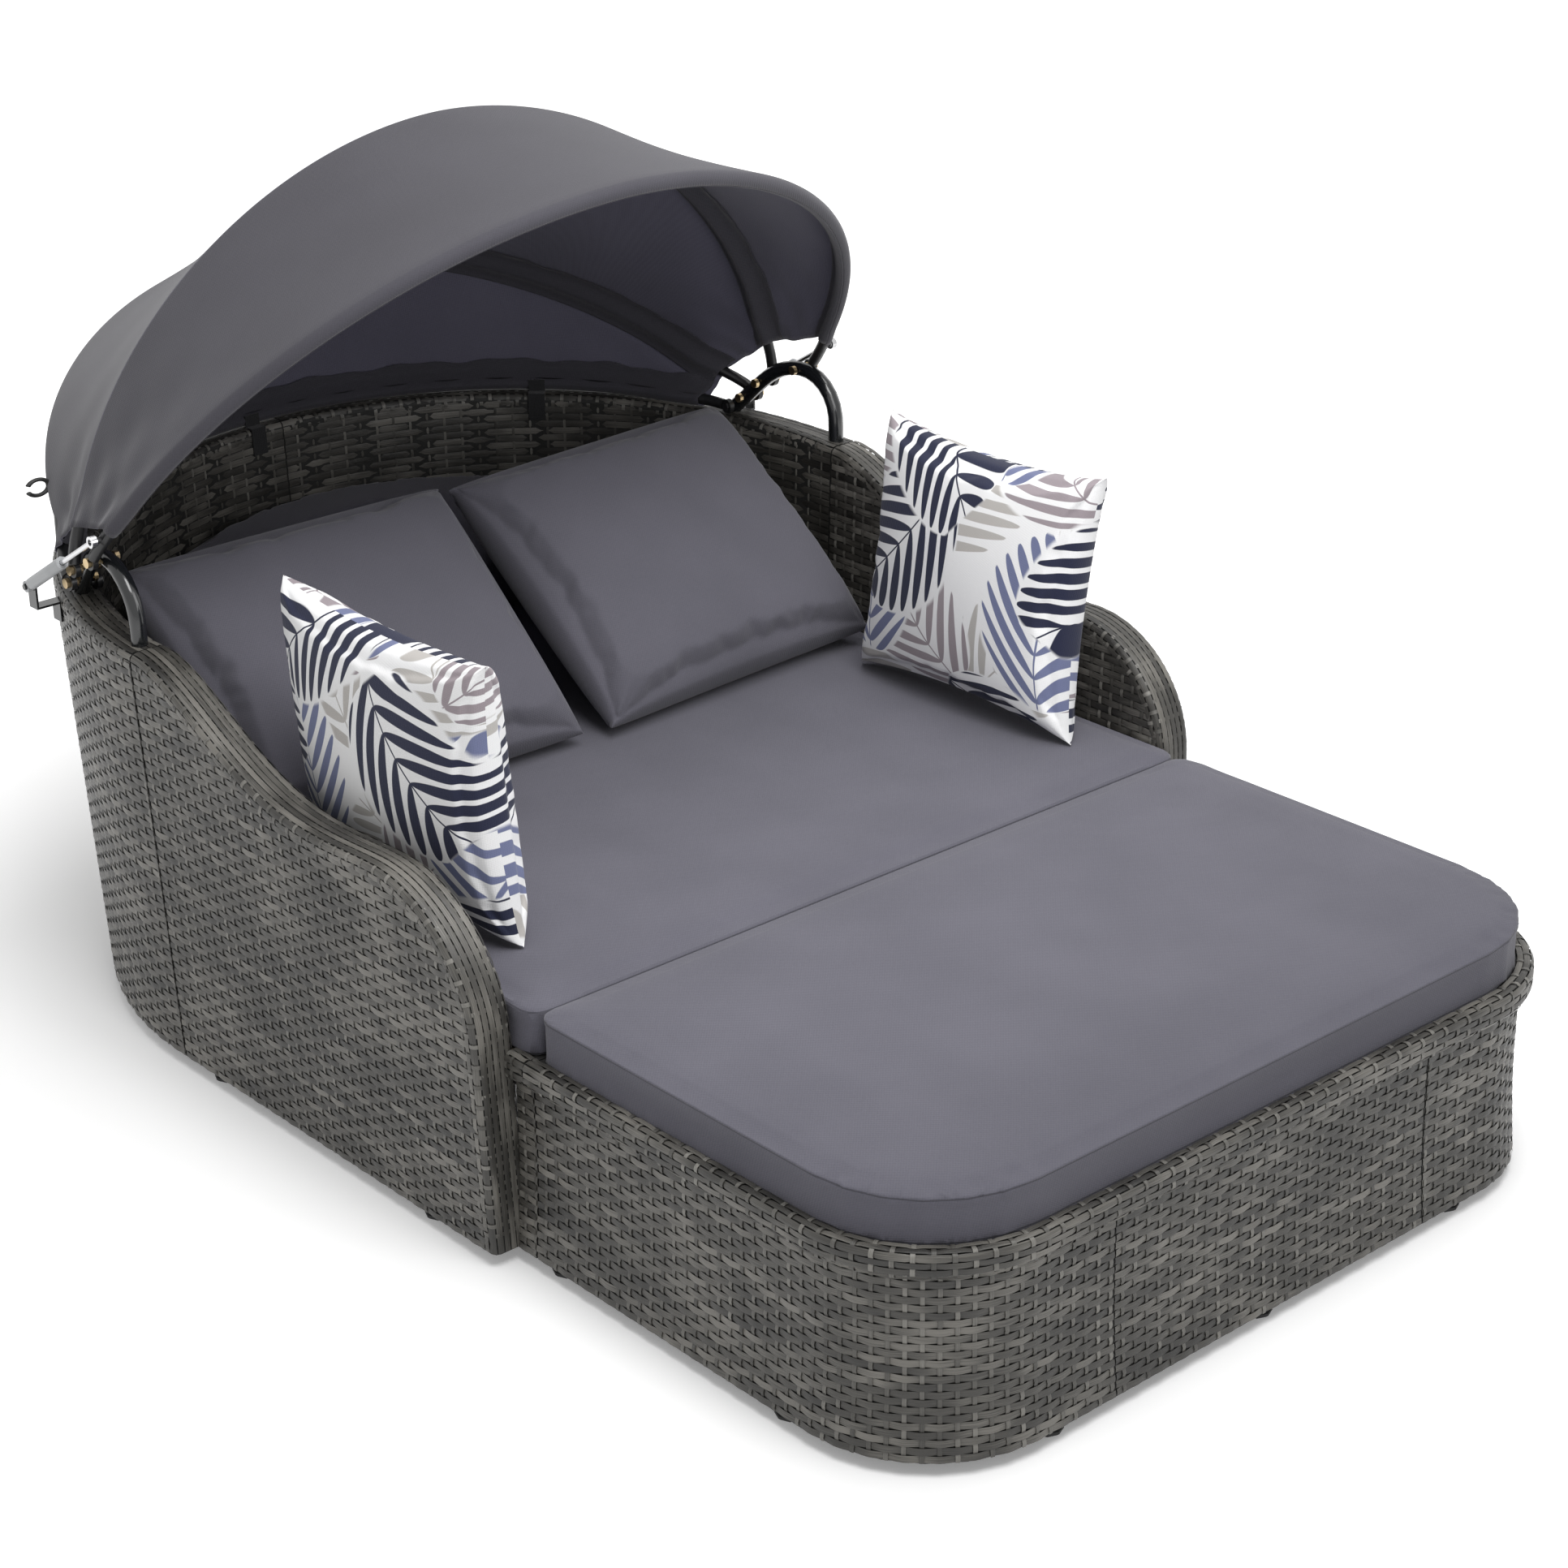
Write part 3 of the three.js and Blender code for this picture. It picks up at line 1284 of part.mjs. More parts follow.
const backPillowWidth = cushionHalfWidth - backPillowRoom;
const backPillows = [
  ["back_pillow_left", -backPillowWidth * half - backLeftShift, backLeftTurn],
  ["back_pillow_right", backPillowWidth * half - backRightLap, backRightTurn],
];
for (const [name, x, turn] of backPillows) {
  const solid = pillowSolid(backPillowWidth, backPillowHeight, backPillowThickness, backPillowDrawIn);
  const place = [x, backPillowFoot];
  daybed.add(placedPillow(name, "pillow", solid, backPillowHeight, place, radians(turn), backPillowTilt));
}
const throwPillows = [
  ["throw_pillow_left", -1, throwLeftInset, throwLeftMiddle, throwLeftTilt],
  ["throw_pillow_right", 1, throwRightInset, throwRightMiddle, throwRightTilt],
];
for (const [name, side, inset, middle, tilt] of throwPillows) {
  const solid = pillowSolid(throwPillowWidth, throwPillowHeight, throwPillowThickness, throwPillowDrawIn);
  const place = [side * (cushionHalfWidth - inset), middle];
  daybed.add(placedPillow(name, "print", solid, throwPillowHeight, place, -side * quarter, tilt));
}

for (const bow of Object.values(hoops)) daybed.add(placedHoop(bow, `${bow.name}_hoop`));
const { front, middle, third, rear } = hoops;
const panels = {
  canopy_front: { from: front, to: middle, after: third },
  canopy_middle: { before: front, from: middle, to: third, after: rear },
  canopy_rear: { before: middle, from: third, to: rear },
};
for (const [name, panel] of Object.entries(panels))
  daybed.add(piece(name, "canopy", fabricPanel(panel)));
strapFacets.forEach((number, i) => daybed.add(piece(`hem_strap_${i + 1}`, "strap", hemStrap(number))));

// The part's own frame has its Y zero halfway between its foremost and its rearmost point
const box = new THREE.Box3().setFromObject(daybed, true);
daybed.position.y = -(box.min.y + box.max.y) * half;

const model = new THREE.Group().add(daybed);

export default model;
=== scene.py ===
"""Outdoor daybed with a folding canopy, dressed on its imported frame."""
import json
import math

import bmesh
import bpy
import numpy as np
from mathutils import Matrix, Vector

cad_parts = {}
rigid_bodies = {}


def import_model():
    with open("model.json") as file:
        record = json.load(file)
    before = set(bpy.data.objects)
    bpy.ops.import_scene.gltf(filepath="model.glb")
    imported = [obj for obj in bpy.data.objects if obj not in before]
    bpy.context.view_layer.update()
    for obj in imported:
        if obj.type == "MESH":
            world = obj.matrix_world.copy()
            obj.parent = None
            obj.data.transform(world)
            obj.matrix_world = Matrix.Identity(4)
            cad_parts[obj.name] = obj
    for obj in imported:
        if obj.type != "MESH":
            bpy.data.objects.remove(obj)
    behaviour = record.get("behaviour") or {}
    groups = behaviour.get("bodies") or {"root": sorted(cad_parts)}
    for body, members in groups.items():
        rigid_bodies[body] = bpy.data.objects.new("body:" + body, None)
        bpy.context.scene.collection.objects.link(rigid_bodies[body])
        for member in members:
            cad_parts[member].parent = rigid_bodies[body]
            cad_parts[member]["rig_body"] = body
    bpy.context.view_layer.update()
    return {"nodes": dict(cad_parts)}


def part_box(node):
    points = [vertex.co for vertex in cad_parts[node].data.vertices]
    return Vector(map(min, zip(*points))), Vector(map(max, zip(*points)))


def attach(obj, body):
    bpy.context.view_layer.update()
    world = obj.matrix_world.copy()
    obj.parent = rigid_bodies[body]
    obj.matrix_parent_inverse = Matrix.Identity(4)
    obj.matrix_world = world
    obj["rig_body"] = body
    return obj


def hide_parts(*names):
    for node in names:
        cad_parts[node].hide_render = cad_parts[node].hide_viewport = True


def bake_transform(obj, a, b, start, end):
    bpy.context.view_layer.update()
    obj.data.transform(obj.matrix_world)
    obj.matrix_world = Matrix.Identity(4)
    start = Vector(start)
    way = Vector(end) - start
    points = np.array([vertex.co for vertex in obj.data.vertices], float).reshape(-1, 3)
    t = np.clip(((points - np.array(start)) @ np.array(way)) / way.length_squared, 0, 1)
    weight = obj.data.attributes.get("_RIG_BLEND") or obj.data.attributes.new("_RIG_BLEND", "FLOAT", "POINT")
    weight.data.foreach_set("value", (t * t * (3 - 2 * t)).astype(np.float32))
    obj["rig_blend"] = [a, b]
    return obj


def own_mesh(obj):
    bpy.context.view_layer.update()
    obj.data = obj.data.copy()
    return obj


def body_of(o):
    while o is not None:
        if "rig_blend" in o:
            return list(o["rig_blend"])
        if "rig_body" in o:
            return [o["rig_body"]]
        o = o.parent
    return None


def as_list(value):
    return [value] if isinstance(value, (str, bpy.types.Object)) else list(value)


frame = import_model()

SCENE = bpy.context.scene
MM = 0.001
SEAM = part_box("seat_apron")[0].y - 1 * MM
QUARTER = math.pi / 2

# Woven walls, in millimetres
WALL_FOOT = 19
WALL_MIDDLE = 585
WALL_HALF = 27
WALL_EDGE = 9
LEAN = 0.045
ARM_FRONT = 38
ARM_NOSE = 315
ARM_NOSE_REACH = 182
ARM_CREST = 492
ARM_DIP = 488
ARM_DIP_REACH = 292
ARM_SEAM = 735
ARM_RISE_POWER = 1.35
BACK_CENTRE = 752
RIM_AT_ARM = 616
RIM_AT_BACK = 649

# Ottoman and seat front, in millimetres
SKIRT_HALF = 577
SKIRT_FRONT = -679.5
SKIRT_CORNER = 185
SKIRT_SEAM = 274
SKIRT_WAIST = 9
RIM_FOOT = 261
RIM_TOP = 291
RIM_PROUD = 6.5
RIM_EDGE = 6

# Strands, in millimetres
STRAND_PITCH = 10
STRAND_FILL = 0.89
STAKE_PITCH = 20
STAKE_WIDTH = 5.5
STRAND_WAVE = 1.0
STRAND_LIFT = 1.5
STRAND_CROWN = 0.5


# Finishes
class Value:
    """A socket of a finish, so that its sums are written as plain Python."""

    def __init__(self, finish, socket):
        self.finish = finish
        self.socket = socket

    def sum(self, operation, other=None, swapped=False):
        pair = [self] if other is None else [self, other]
        if swapped:
            pair.reverse()
        return self.finish.node("ShaderNodeMath", {"operation": operation}, dict(enumerate(pair)))

    def __add__(self, other):
        return self.sum("ADD", other)

    def __radd__(self, other):
        return self.sum("ADD", other, True)

    def __sub__(self, other):
        return self.sum("SUBTRACT", other)

    def __rsub__(self, other):
        return self.sum("SUBTRACT", other, True)

    def __mul__(self, other):
        return self.sum("MULTIPLY", other)

    def __rmul__(self, other):
        return self.sum("MULTIPLY", other, True)

    def __truediv__(self, other):
        return self.sum("DIVIDE", other)

    def __pow__(self, other):
        return self.sum("POWER", other)

    def size(self):
        return self.sum("ABSOLUTE")

    def wave(self):
        return self.sum("SINE")

    def part(self):
        return self.sum("FRACT")

    def most(self, other):
        return self.sum("MAXIMUM", other)

    def clear(self, low, high):
        """0 below low, 1 above high, soft between."""
        settings = {"interpolation_type": "SMOOTHSTEP"}
        inputs = {"Value": self, "From Min": low, "From Max": high}
        return self.finish.node("ShaderNodeMapRange", settings, inputs)


class Finish:
    """One material, with its shader and the nodes that vary it."""

    def __init__(self, name, roughness=0.6, metallic=0.0, **constants):
        self.material = bpy.data.materials.new(name)
        self.material.use_nodes = True
        self.nodes = self.material.node_tree.nodes
        self.links = self.material.node_tree.links
        self.shader = self.nodes["Principled BSDF"]
        self.shader.inputs["Roughness"].default_value = roughness
        self.shader.inputs["Metallic"].default_value = metallic
        for key, value in constants.items():
            self.shader.inputs[key.replace("_", " ")].default_value = value

    def feed(self, socket, value):
        if isinstance(value, Value):
            self.links.new(value.socket, socket)
        elif hasattr(socket.default_value, "__len__") and len(value) < len(socket.default_value):
            socket.default_value = (*value, 1)
        else:
            socket.default_value = value

    def node(self, kind, settings=None, inputs=None, output=0):
        made = self.nodes.new(kind)
        for key, value in (settings or {}).items():
            if key == "stops":
                self.set_stops(made.color_ramp, value)
            else:
                setattr(made, key, value)
        for key, value in (inputs or {}).items():
            self.feed(made.inputs[key], value)
        return Value(self, made.outputs[output])

    @staticmethod
    def set_stops(ramp, stops):
        while len(ramp.elements) < len(stops):
            ramp.elements.new(1)
        for element, (place, colour) in zip(ramp.elements, stops):
            element.position = place
            element.color = (*colour, 1)

    def place(self, kind="Object"):
        return self.node("ShaderNodeTexCoord", output=kind)

    def split(self, spot):
        parts = self.nodes.new("ShaderNodeSeparateXYZ")
        self.links.new(spot.socket, parts.inputs[0])
        return [Value(self, socket) for socket in parts.outputs]

    def noise(self, spot, scale, detail=3.0, roughness=0.5):
        inputs = {"Vector": spot, "Scale": scale, "Detail": detail, "Roughness": roughness}
        return self.node("ShaderNodeTexNoise", {}, inputs)

    def mix(self, share, first, second):
        settings = {"data_type": "RGBA"}
        return self.node("ShaderNodeMix", settings, {0: share, 6: first, 7: second}, output=2)

    def ramp(self, value, stops):
        return self.node("ShaderNodeValToRGB", {"stops": stops}, {"Fac": value})

    def colour(self, value):
        self.feed(self.shader.inputs["Base Color"], value)

    def dull(self, value):
        self.feed(self.shader.inputs["Roughness"], value)

    def relief(self, height, depth, strength=1.0):
        bump = self.node("ShaderNodeBump", {}, {"Height": height, "Distance": depth, "Strength": strength})
        self.feed(self.shader.inputs["Normal"], bump)


def strand_finish(name, dark, middle, light):
    """Flat resin strand, streaked along its length; its UV runs in millimetres and rows."""
    finish = Finish(name, roughness=0.42, Specular_IOR_Level=0.5)
    spot = finish.place("UV")
    along, row, _ = finish.split(spot)
    lane = (row - 0.5).sum("ROUND")
    tone_spot = finish.node("ShaderNodeCombineXYZ", {}, {0: along / 150, 1: lane * 7.31, 2: 0.0})
    tone = finish.noise(tone_spot, 1.0, 2.0, 0.55)
    streak_spot = finish.node("ShaderNodeCombineXYZ", {}, {0: along / 60, 1: row * 9.0, 2: 2.0})
    streak = finish.noise(streak_spot, 1.0, 3.0, 0.6)
    patch = finish.noise(finish.place("Object"), 7.0, 2.0)
    share = tone * 0.62 + streak * 0.26 + patch * 0.2
    finish.colour(finish.ramp(share, [(0.42, dark), (0.53, middle), (0.64, light)]))
    finish.dull(streak * 0.3 + 0.27)
    groove_spot = finish.node("ShaderNodeCombineXYZ", {}, {0: along / 40, 1: row * 26.0, 2: 5.0})
    finish.relief(finish.noise(groove_spot, 1.0, 2.0), 0.0004, 0.7)
    return finish.material


def plain_finish(name, base, worn, roughness, metallic=0.0, grain=60.0, depth=0.0002, **constants):
    """Painted, plated or moulded surface with faint mottling and wear."""
    finish = Finish(name, roughness=roughness, metallic=metallic, **constants)
    spot = finish.place()
    cloud = finish.noise(spot, grain * 0.2, 3.0)
    speck = finish.noise(spot, grain * 8, 2.0)
    finish.colour(finish.mix(cloud.clear(0.45, 0.75), base, worn))
    finish.dull(cloud * 0.16 + (roughness - 0.08))
    finish.relief(speck, depth, 0.35)
    return finish.material


CLOTH_THREADS = 1500.0
CLOTH_LOOK = {"roughness": 0.86, "Sheen_Weight": 0.18, "Sheen_Roughness": 0.5, "Specular_IOR_Level": 0.25}


def cloth_nodes(finish, base, shade):
    """Plain tight weave with soft tonal clouds; returns the colour and the thread height."""
    spot = finish.place()
    x, y, z = finish.split(spot)
    threads = ((x + z * 0.55) * CLOTH_THREADS).wave() * ((y + z * 0.83) * CLOTH_THREADS).wave()
    cloud = finish.noise(spot, 6.0, 3.0)
    slub = finish.noise(spot, 420.0, 2.0)
    share = (cloud * 0.5 + slub * 0.32 + threads * 0.09).clear(0.2, 0.65)
    return finish.mix(share, shade, base), threads * 0.4 + slub


def cloth_finish(name, base, shade):
    finish = Finish(name, **CLOTH_LOOK)
    colour, height = cloth_nodes(finish, base, shade)
    finish.colour(colour)
    finish.relief(height, 0.0005, 0.45)
    return finish.material


def cushion_finish(name, base, shade, seams):
    """Cushion cloth with a stitched seam line at each of its two heights, in metres."""
    finish = Finish(name, **CLOTH_LOOK)
    colour, height = cloth_nodes(finish, base, shade)
    z = finish.split(finish.place())[2]
    low, high = (1 - (z - seam).size().clear(0.0005, 0.0014) for seam in seams)
    line = low.most(high)
    finish.colour(finish.mix(line * 0.6, colour, tuple(c * 0.3 for c in shade)))
    finish.relief(height - line * 2, 0.0005, 0.5)
    return finish.material


FROND_SLANT = 0.9
FROND_BEND = 0.3
LEAFLET_REACH = 0.38
LEAFLET_BEND = 0.5


def frond(x, y, turn, length, pitch, thick):
    """Masks of one palm-like frond: the ground that it covers, and its stem with slanting leaflets."""
    c, s = math.cos(turn), math.sin(turn)
    along = x * c + y * s
    aside = y * c - x * s
    bend = aside + along * along * (FROND_BEND / length)
    off = bend.size()
    share = (along + length * 0.5) / length
    reach = (share * (1.04 - share) * 4).most(0.001) ** 0.5 * (length * LEAFLET_REACH)
    place = (along - off * FROND_SLANT - off * off * (LEAFLET_BEND / length)) / pitch
    leaf = ((place.part() - 0.5) * 2).size()
    near = off / reach
    width = (near * (1 - near) * 4).most(0.0) ** 0.6 * thick + 0.08
    body = (width - leaf).clear(0.0, 0.09) * (1 - near.clear(0.97, 1.0))
    stem = 1 - off.clear(0.0009, 0.0015)
    inside = share.clear(0.0, 0.02) * (1 - share.clear(0.97, 0.99))
    ground = (1 - near.clear(1.0, 1.08)) * inside
    return ground, body.most(stem) * inside


def print_finish(name):
    """White pillow cloth printed with a loose scatter of fronds in four inks."""
    finish = Finish(name, roughness=0.8, Sheen_Weight=0.12, Specular_IOR_Level=0.25)
    u, v, _ = finish.split(finish.place("UV"))
    spot = finish.place()
    paper = finish.mix(finish.noise(spot, 8.0), (0.76, 0.76, 0.77), (0.84, 0.84, 0.84))
    navy, slate = (0.016, 0.019, 0.045), (0.15, 0.17, 0.29)
    mauve, stone = (0.30, 0.26, 0.28), (0.45, 0.43, 0.41)
    sprays = [
        (stone, (0.250, 0.230), (0.02, 0.05), 0.75, 0.23, 0.033, 0.64),
        (mauve, (0.310, 0.280), (0.20, 0.17), 2.30, 0.24, 0.032, 0.60),
        (slate, (0.330, 0.300), (0.11, 0.27), 1.45, 0.25, 0.032, 0.60),
        (navy, (0.350, 0.330), (0.29, 0.11), 4.00, 0.25, 0.035, 0.66),
        (navy, (0.430, 0.400), (0.06, 0.02), 5.60, 0.24, 0.034, 0.62),
    ]
    colour = paper
    for ink, (wide, tall), (shift_x, shift_y), turn, length, pitch, thick in sprays:
        row = ((v + (shift_y + 2)) / tall).sum("FLOOR")
        x = (((u + (shift_x + 2)) / wide + row * 0.37).part() - 0.5) * wide
        y = (((v + (shift_y + 2)) / tall).part() - 0.5) * tall
        ground, leaves = frond(x, y, turn, length, pitch, thick)
        colour = finish.mix(leaves, finish.mix(ground, colour, paper), ink)
    finish.colour(colour)
    x, y, z = finish.split(spot)
    threads = ((x + z * 0.6) * 2200).wave() * ((y + z * 0.8) * 2200).wave()
    finish.relief(threads + finish.noise(spot, 300.0), 0.0004, 0.35)
    return finish.material


STRAND = strand_finish("resin_strand", (0.017, 0.016, 0.014), (0.052, 0.049, 0.043), (0.17, 0.161, 0.143))
STAKE = strand_finish("resin_stake", (0.034, 0.032, 0.028), (0.086, 0.082, 0.073), (0.20, 0.192, 0.173))
# Near-black backing that shows through the gaps of the weave: painted shade for the hollows behind the
# strands.
GAP_SHADE = plain_finish("weave_gap_shade", (0.009, 0.009, 0.008), (0.018, 0.017, 0.016), 0.7, depth=0.0006)
STEEL = plain_finish("powder_coat", (0.022, 0.022, 0.023), (0.035, 0.035, 0.036), 0.55)
DECK = plain_finish("deck_board", (0.10, 0.085, 0.06), (0.14, 0.12, 0.09), 0.75)
GLIDE = plain_finish("glide_rubber", (0.014, 0.014, 0.014), (0.03, 0.03, 0.03), 0.6)
ARCH = plain_finish("arch_gloss", (0.006, 0.007, 0.008), (0.010, 0.011, 0.012), 0.22, grain=30,
                    Coat_Weight=0.4)
HOOP = plain_finish("hoop_satin", (0.012, 0.012, 0.013), (0.022, 0.022, 0.023), 0.38)
ZINC = plain_finish("gold_zinc", (0.55, 0.42, 0.24), (0.36, 0.28, 0.18), 0.3, metallic=1.0)
SILVER = plain_finish("strut_paint", (0.40, 0.41, 0.42), (0.32, 0.33, 0.34), 0.35)
ROD = plain_finish("polished_rod", (0.62, 0.62, 0.63), (0.5, 0.5, 0.5), 0.2, metallic=1.0)
GREY = (0.112, 0.109, 0.134)
GREY_SHADE = (0.088, 0.086, 0.107)
HOOD = cloth_finish("hood_cloth", (0.132, 0.127, 0.172), (0.105, 0.101, 0.139))
# Inner face of the hood and its hoop sleeves: the same hood cloth painted darker, as painted shade for the
# inside of the hood.
HOOD_INSIDE_SHADED = cloth_finish("hood_cloth_painted_shade", (0.060, 0.058, 0.070), (0.048, 0.046, 0.056))
WEBBING = cloth_finish("strap_webbing", (0.03, 0.03, 0.032), (0.02, 0.02, 0.021))
PRINT = print_finish("frond_print")


# Meshes
def row_frame(points):
    """Millimetres with Y zero on the seat and ottoman seam, as metres in the shared frame."""
    placed = np.asarray(points, float) * MM
    placed[:, 1] += SEAM
    return placed


def mesh_of(name, shape):
    mesh = bpy.data.meshes.new(name)
    shape.to_mesh(mesh)
    shape.free()
    return mesh


def made(name, shape, finish, body, smooth=True):
    return kept(name, mesh_of(name, shape), finish, body, smooth)


def kept(name, mesh, finish, body, smooth=True):
    for material in finish if isinstance(finish, (list, tuple)) else [finish]:
        mesh.materials.append(material)
    mesh.polygons.foreach_set("use_smooth", np.full(len(mesh.polygons), smooth))
    piece = bpy.data.objects.new(name, mesh)
    SCENE.collection.objects.link(piece)
    if body:
        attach(piece, body)
    return piece


def grid(columns, lines):
    shape = bmesh.new()
    bmesh.ops.create_grid(shape, x_segments=columns, y_segments=lines, size=1)
    return shape


def vectors(mesh, kind="co"):
    flat = np.empty(len(mesh.vertices) * 3)
    mesh.vertices.foreach_get(kind, flat)
    return flat.reshape(-1, 3)


def grid_places(mesh, columns, lines):
    """Column and line number of each point of a fresh grid."""
    flat = vectors(mesh)
    return np.rint((flat[:, 0] + 1) / 2 * columns), np.rint((flat[:, 1] + 1) / 2 * lines)


def set_points(mesh, points, uv=None):
    mesh.vertices.foreach_set("co", np.ascontiguousarray(points, dtype=np.float32).ravel())
    if uv is not None:
        owners = np.empty(len(mesh.loops), np.int32)
        mesh.loops.foreach_get("vertex_index", owners)
        layer = mesh.uv_layers.new(name="strand")
        layer.data.foreach_set("uv", np.ascontiguousarray(uv[owners], dtype=np.float32).ravel())
    mesh.update()


def jitter(number, seed):
    return np.modf(np.abs(np.sin(number * 12.9898 + seed * 78.233) * 43758.5453))[0] - 0.5


def strands(name, steps, count, place, finish, body, keep=None, flip=False):
    """Flat strands side by side, each two faces wide; place gives points from the share along,
    the strand's number and the place across it from -1 to 1."""
    lines = count * 3 - 1
    shape = grid(steps, lines)
    gaps = [f for f in shape.faces if round((f.calc_center_median().y + 1) / 2 * lines - 0.5) % 3 == 2]
    bmesh.ops.delete(shape, geom=gaps, context="FACES")
    if flip:
        bmesh.ops.reverse_faces(shape, faces=shape.faces)
    mesh = mesh_of(name, shape)
    column, line = grid_places(mesh, steps, lines)
    number, across = line // 3, line % 3 - 1
    points, along = place(column / steps, number, across)
    set_points(mesh, row_frame(points), np.column_stack([along, number + 0.5 + across * 0.45]))
    if keep is not None:
        drop = ~keep(column / steps, number)
        shape = bmesh.new()
        shape.from_mesh(mesh)
        shape.verts.ensure_lookup_table()
        unwanted = [shape.verts[i] for i in np.flatnonzero(drop)]
        bmesh.ops.delete(shape, geom=unwanted, context="VERTS")
        shape.to_mesh(mesh)
        shape.free()
    return kept(name, mesh, finish, body)


def panel(name, surface, run, rise, body, top=None, pitch=STRAND_PITCH, stakes=STAKE_PITCH,
          wave=STRAND_WAVE, lift=STRAND_LIFT, flip=False, seed=1.0, stake_width=STAKE_WIDTH):
    """Plain weave over a surface: long strands over and under upright stakes."""
    start, end = run
    low, high = rise
    length = end - start
    rows = max(int(round((high - low) / pitch)), 1)
    step = (high - low) / rows
    columns = max(int(length / (stakes / 3)), 4)

    def weft(share, row, across):
        u = start + share * length
        v = low + (row + 0.5 + across * STRAND_FILL / 2 + jitter(row, seed) * 0.05) * step
        swing = np.cos(np.pi * u / stakes + np.pi * row)
        raised = lift + wave * swing + STRAND_CROWN * (1 - np.abs(across)) + jitter(row, seed + 3) * 0.25
        return surface(u, v, raised), u + jitter(row, seed + 5) * 900

    def stake(share, number, across):
        u = (np.ceil(start / stakes) + number) * stakes + across * stake_width / 2
        v = low + share * (high - low)
        crossing = np.ceil(start / stakes) + number
        swing = np.cos(np.pi * crossing + np.pi * ((v - low) / step - 0.5))
        raised = lift - wave * swing + STRAND_CROWN * 0.5 * (1 - np.abs(across))
        return surface(u, v, raised), v + jitter(number, seed + 7) * 700

    def weft_kept(share, row):
        return low + (row + 1) * step < top(start + share * length)

    def stake_kept(share, number):
        u = (np.ceil(start / stakes) + number) * stakes
        return low + share * (high - low) < top(u)

    count = int(math.floor(end / stakes) - math.ceil(start / stakes)) + 1
    clipped = top is not None
    strands(f"{name}_strands", columns, rows, weft, STRAND, body, weft_kept if clipped else None, flip)
    strands(f"{name}_stakes", rows * 2, count, stake, STAKE, body, stake_kept if clipped else None, not flip)


def band(name, surface, run, lanes, width, body, stakes=40, wave=1.2, lift=1.8, flip=False, seed=2.0,
         edge_only=True):
    """Lengthwise strands over an edge, tied down by wraps that cross them."""
    start, end = run
    length = end - start
    pitch = width / lanes
    columns = max(int(length / 7), 4)

    def hold(lane):
        middle = (lanes - 1) / 2
        return np.clip(np.abs(lane - middle) / middle * 1.6 - 0.35, 0, 1) if edge_only else np.ones_like(lane)

    def lane(share, number, across):
        u = start + share * length
        a = (number + 0.5 + across * 0.42) * pitch - width / 2
        dip = np.clip(np.cos(2 * np.pi * (u / stakes + (number % 2) * 0.5)), 0, 1) ** 3
        raised = lift + 0.35 - wave * 1.7 * dip * hold(number) + STRAND_CROWN * (1 - np.abs(across))
        raised = raised + jitter(number, seed) * 0.9
        return surface(u, a, raised), u + jitter(number, seed) * 800

    def wrap(share, number, across):
        u = (np.ceil(start / stakes) + number * 0.5) * stakes + across * STAKE_WIDTH / 2
        a = (share - 0.5) * width
        position = (a + width / 2) / pitch - 0.5
        over = np.cos(np.pi * (position + number)) * hold(np.clip(position, 0, lanes - 1))
        raised = lift + 0.15 + wave * 0.8 * over - (1 - hold(np.clip(position, 0, lanes - 1))) * 1.0
        return surface(u, a, raised), a + jitter(number, seed + 1) * 600

    count = max(int((end - np.ceil(start / stakes) * stakes) / stakes * 2), 1)
    strands(f"{name}_lanes", columns, lanes, lane, STRAND, body, None, flip)
    strands(f"{name}_wraps", lanes * 3, count, wrap, STAKE, body, None, not flip)


# Woven walls
def smooth(share):
    return share * share * (3 - 2 * share)


def arm_top(y):
    reach = np.asarray(y, float) - ARM_FRONT
    left = 1 - np.clip(reach, 0, ARM_NOSE_REACH) / ARM_NOSE_REACH
    nose = ARM_NOSE + (ARM_CREST - ARM_NOSE) * np.sqrt(np.clip(1 - left * left, 0, 1))
    fall = smooth(np.clip((reach - ARM_NOSE_REACH) / (ARM_DIP_REACH - ARM_NOSE_REACH), 0, 1))
    dip = ARM_CREST + (ARM_DIP - ARM_CREST) * fall
    rise = np.clip((reach - ARM_DIP_REACH) / (ARM_SEAM - ARM_FRONT - ARM_DIP_REACH), 0, 1)
    climb = ARM_DIP + (RIM_AT_ARM - ARM_DIP) * smooth(rise ** ARM_RISE_POWER)
    return np.where(reach < ARM_NOSE_REACH, nose, np.where(reach < ARM_DIP_REACH, dip, climb))


def wall_turn(along):
    return np.clip(along - BACK_CENTRE, 0, None) / WALL_MIDDLE


def wall_top(along):
    """Top of the wall at a length along it, which is Y as far as the round part."""
    back = RIM_AT_ARM + (RIM_AT_BACK - RIM_AT_ARM) * np.sin(np.clip(wall_turn(along), 0, math.pi))
    return np.where(along < ARM_SEAM, arm_top(along), back)


def wall_at(side, along, off, height):
    reach = WALL_MIDDLE + LEAN * (height - WALL_FOOT) + off
    turn = wall_turn(along)
    x = side * reach * np.cos(turn)
    y = np.where(turn > 0, BACK_CENTRE + reach * np.sin(turn), along)
    return np.column_stack([x, y, height + 0 * along])


def edge_section(a, raised, half, edge):
    """Offset from the middle and drop from the top at a place over a rounded top edge."""
    flat = half - edge
    size = np.abs(a)
    angle = np.clip((size - flat) / edge, 0, QUARTER)
    down = np.clip(size - flat - edge * QUARTER, 0, None)
    off = np.clip(size, 0, flat) + (edge + raised) * np.sin(angle)
    drop = edge - (edge + raised) * np.cos(angle) + down
    return np.sign(a) * off, drop


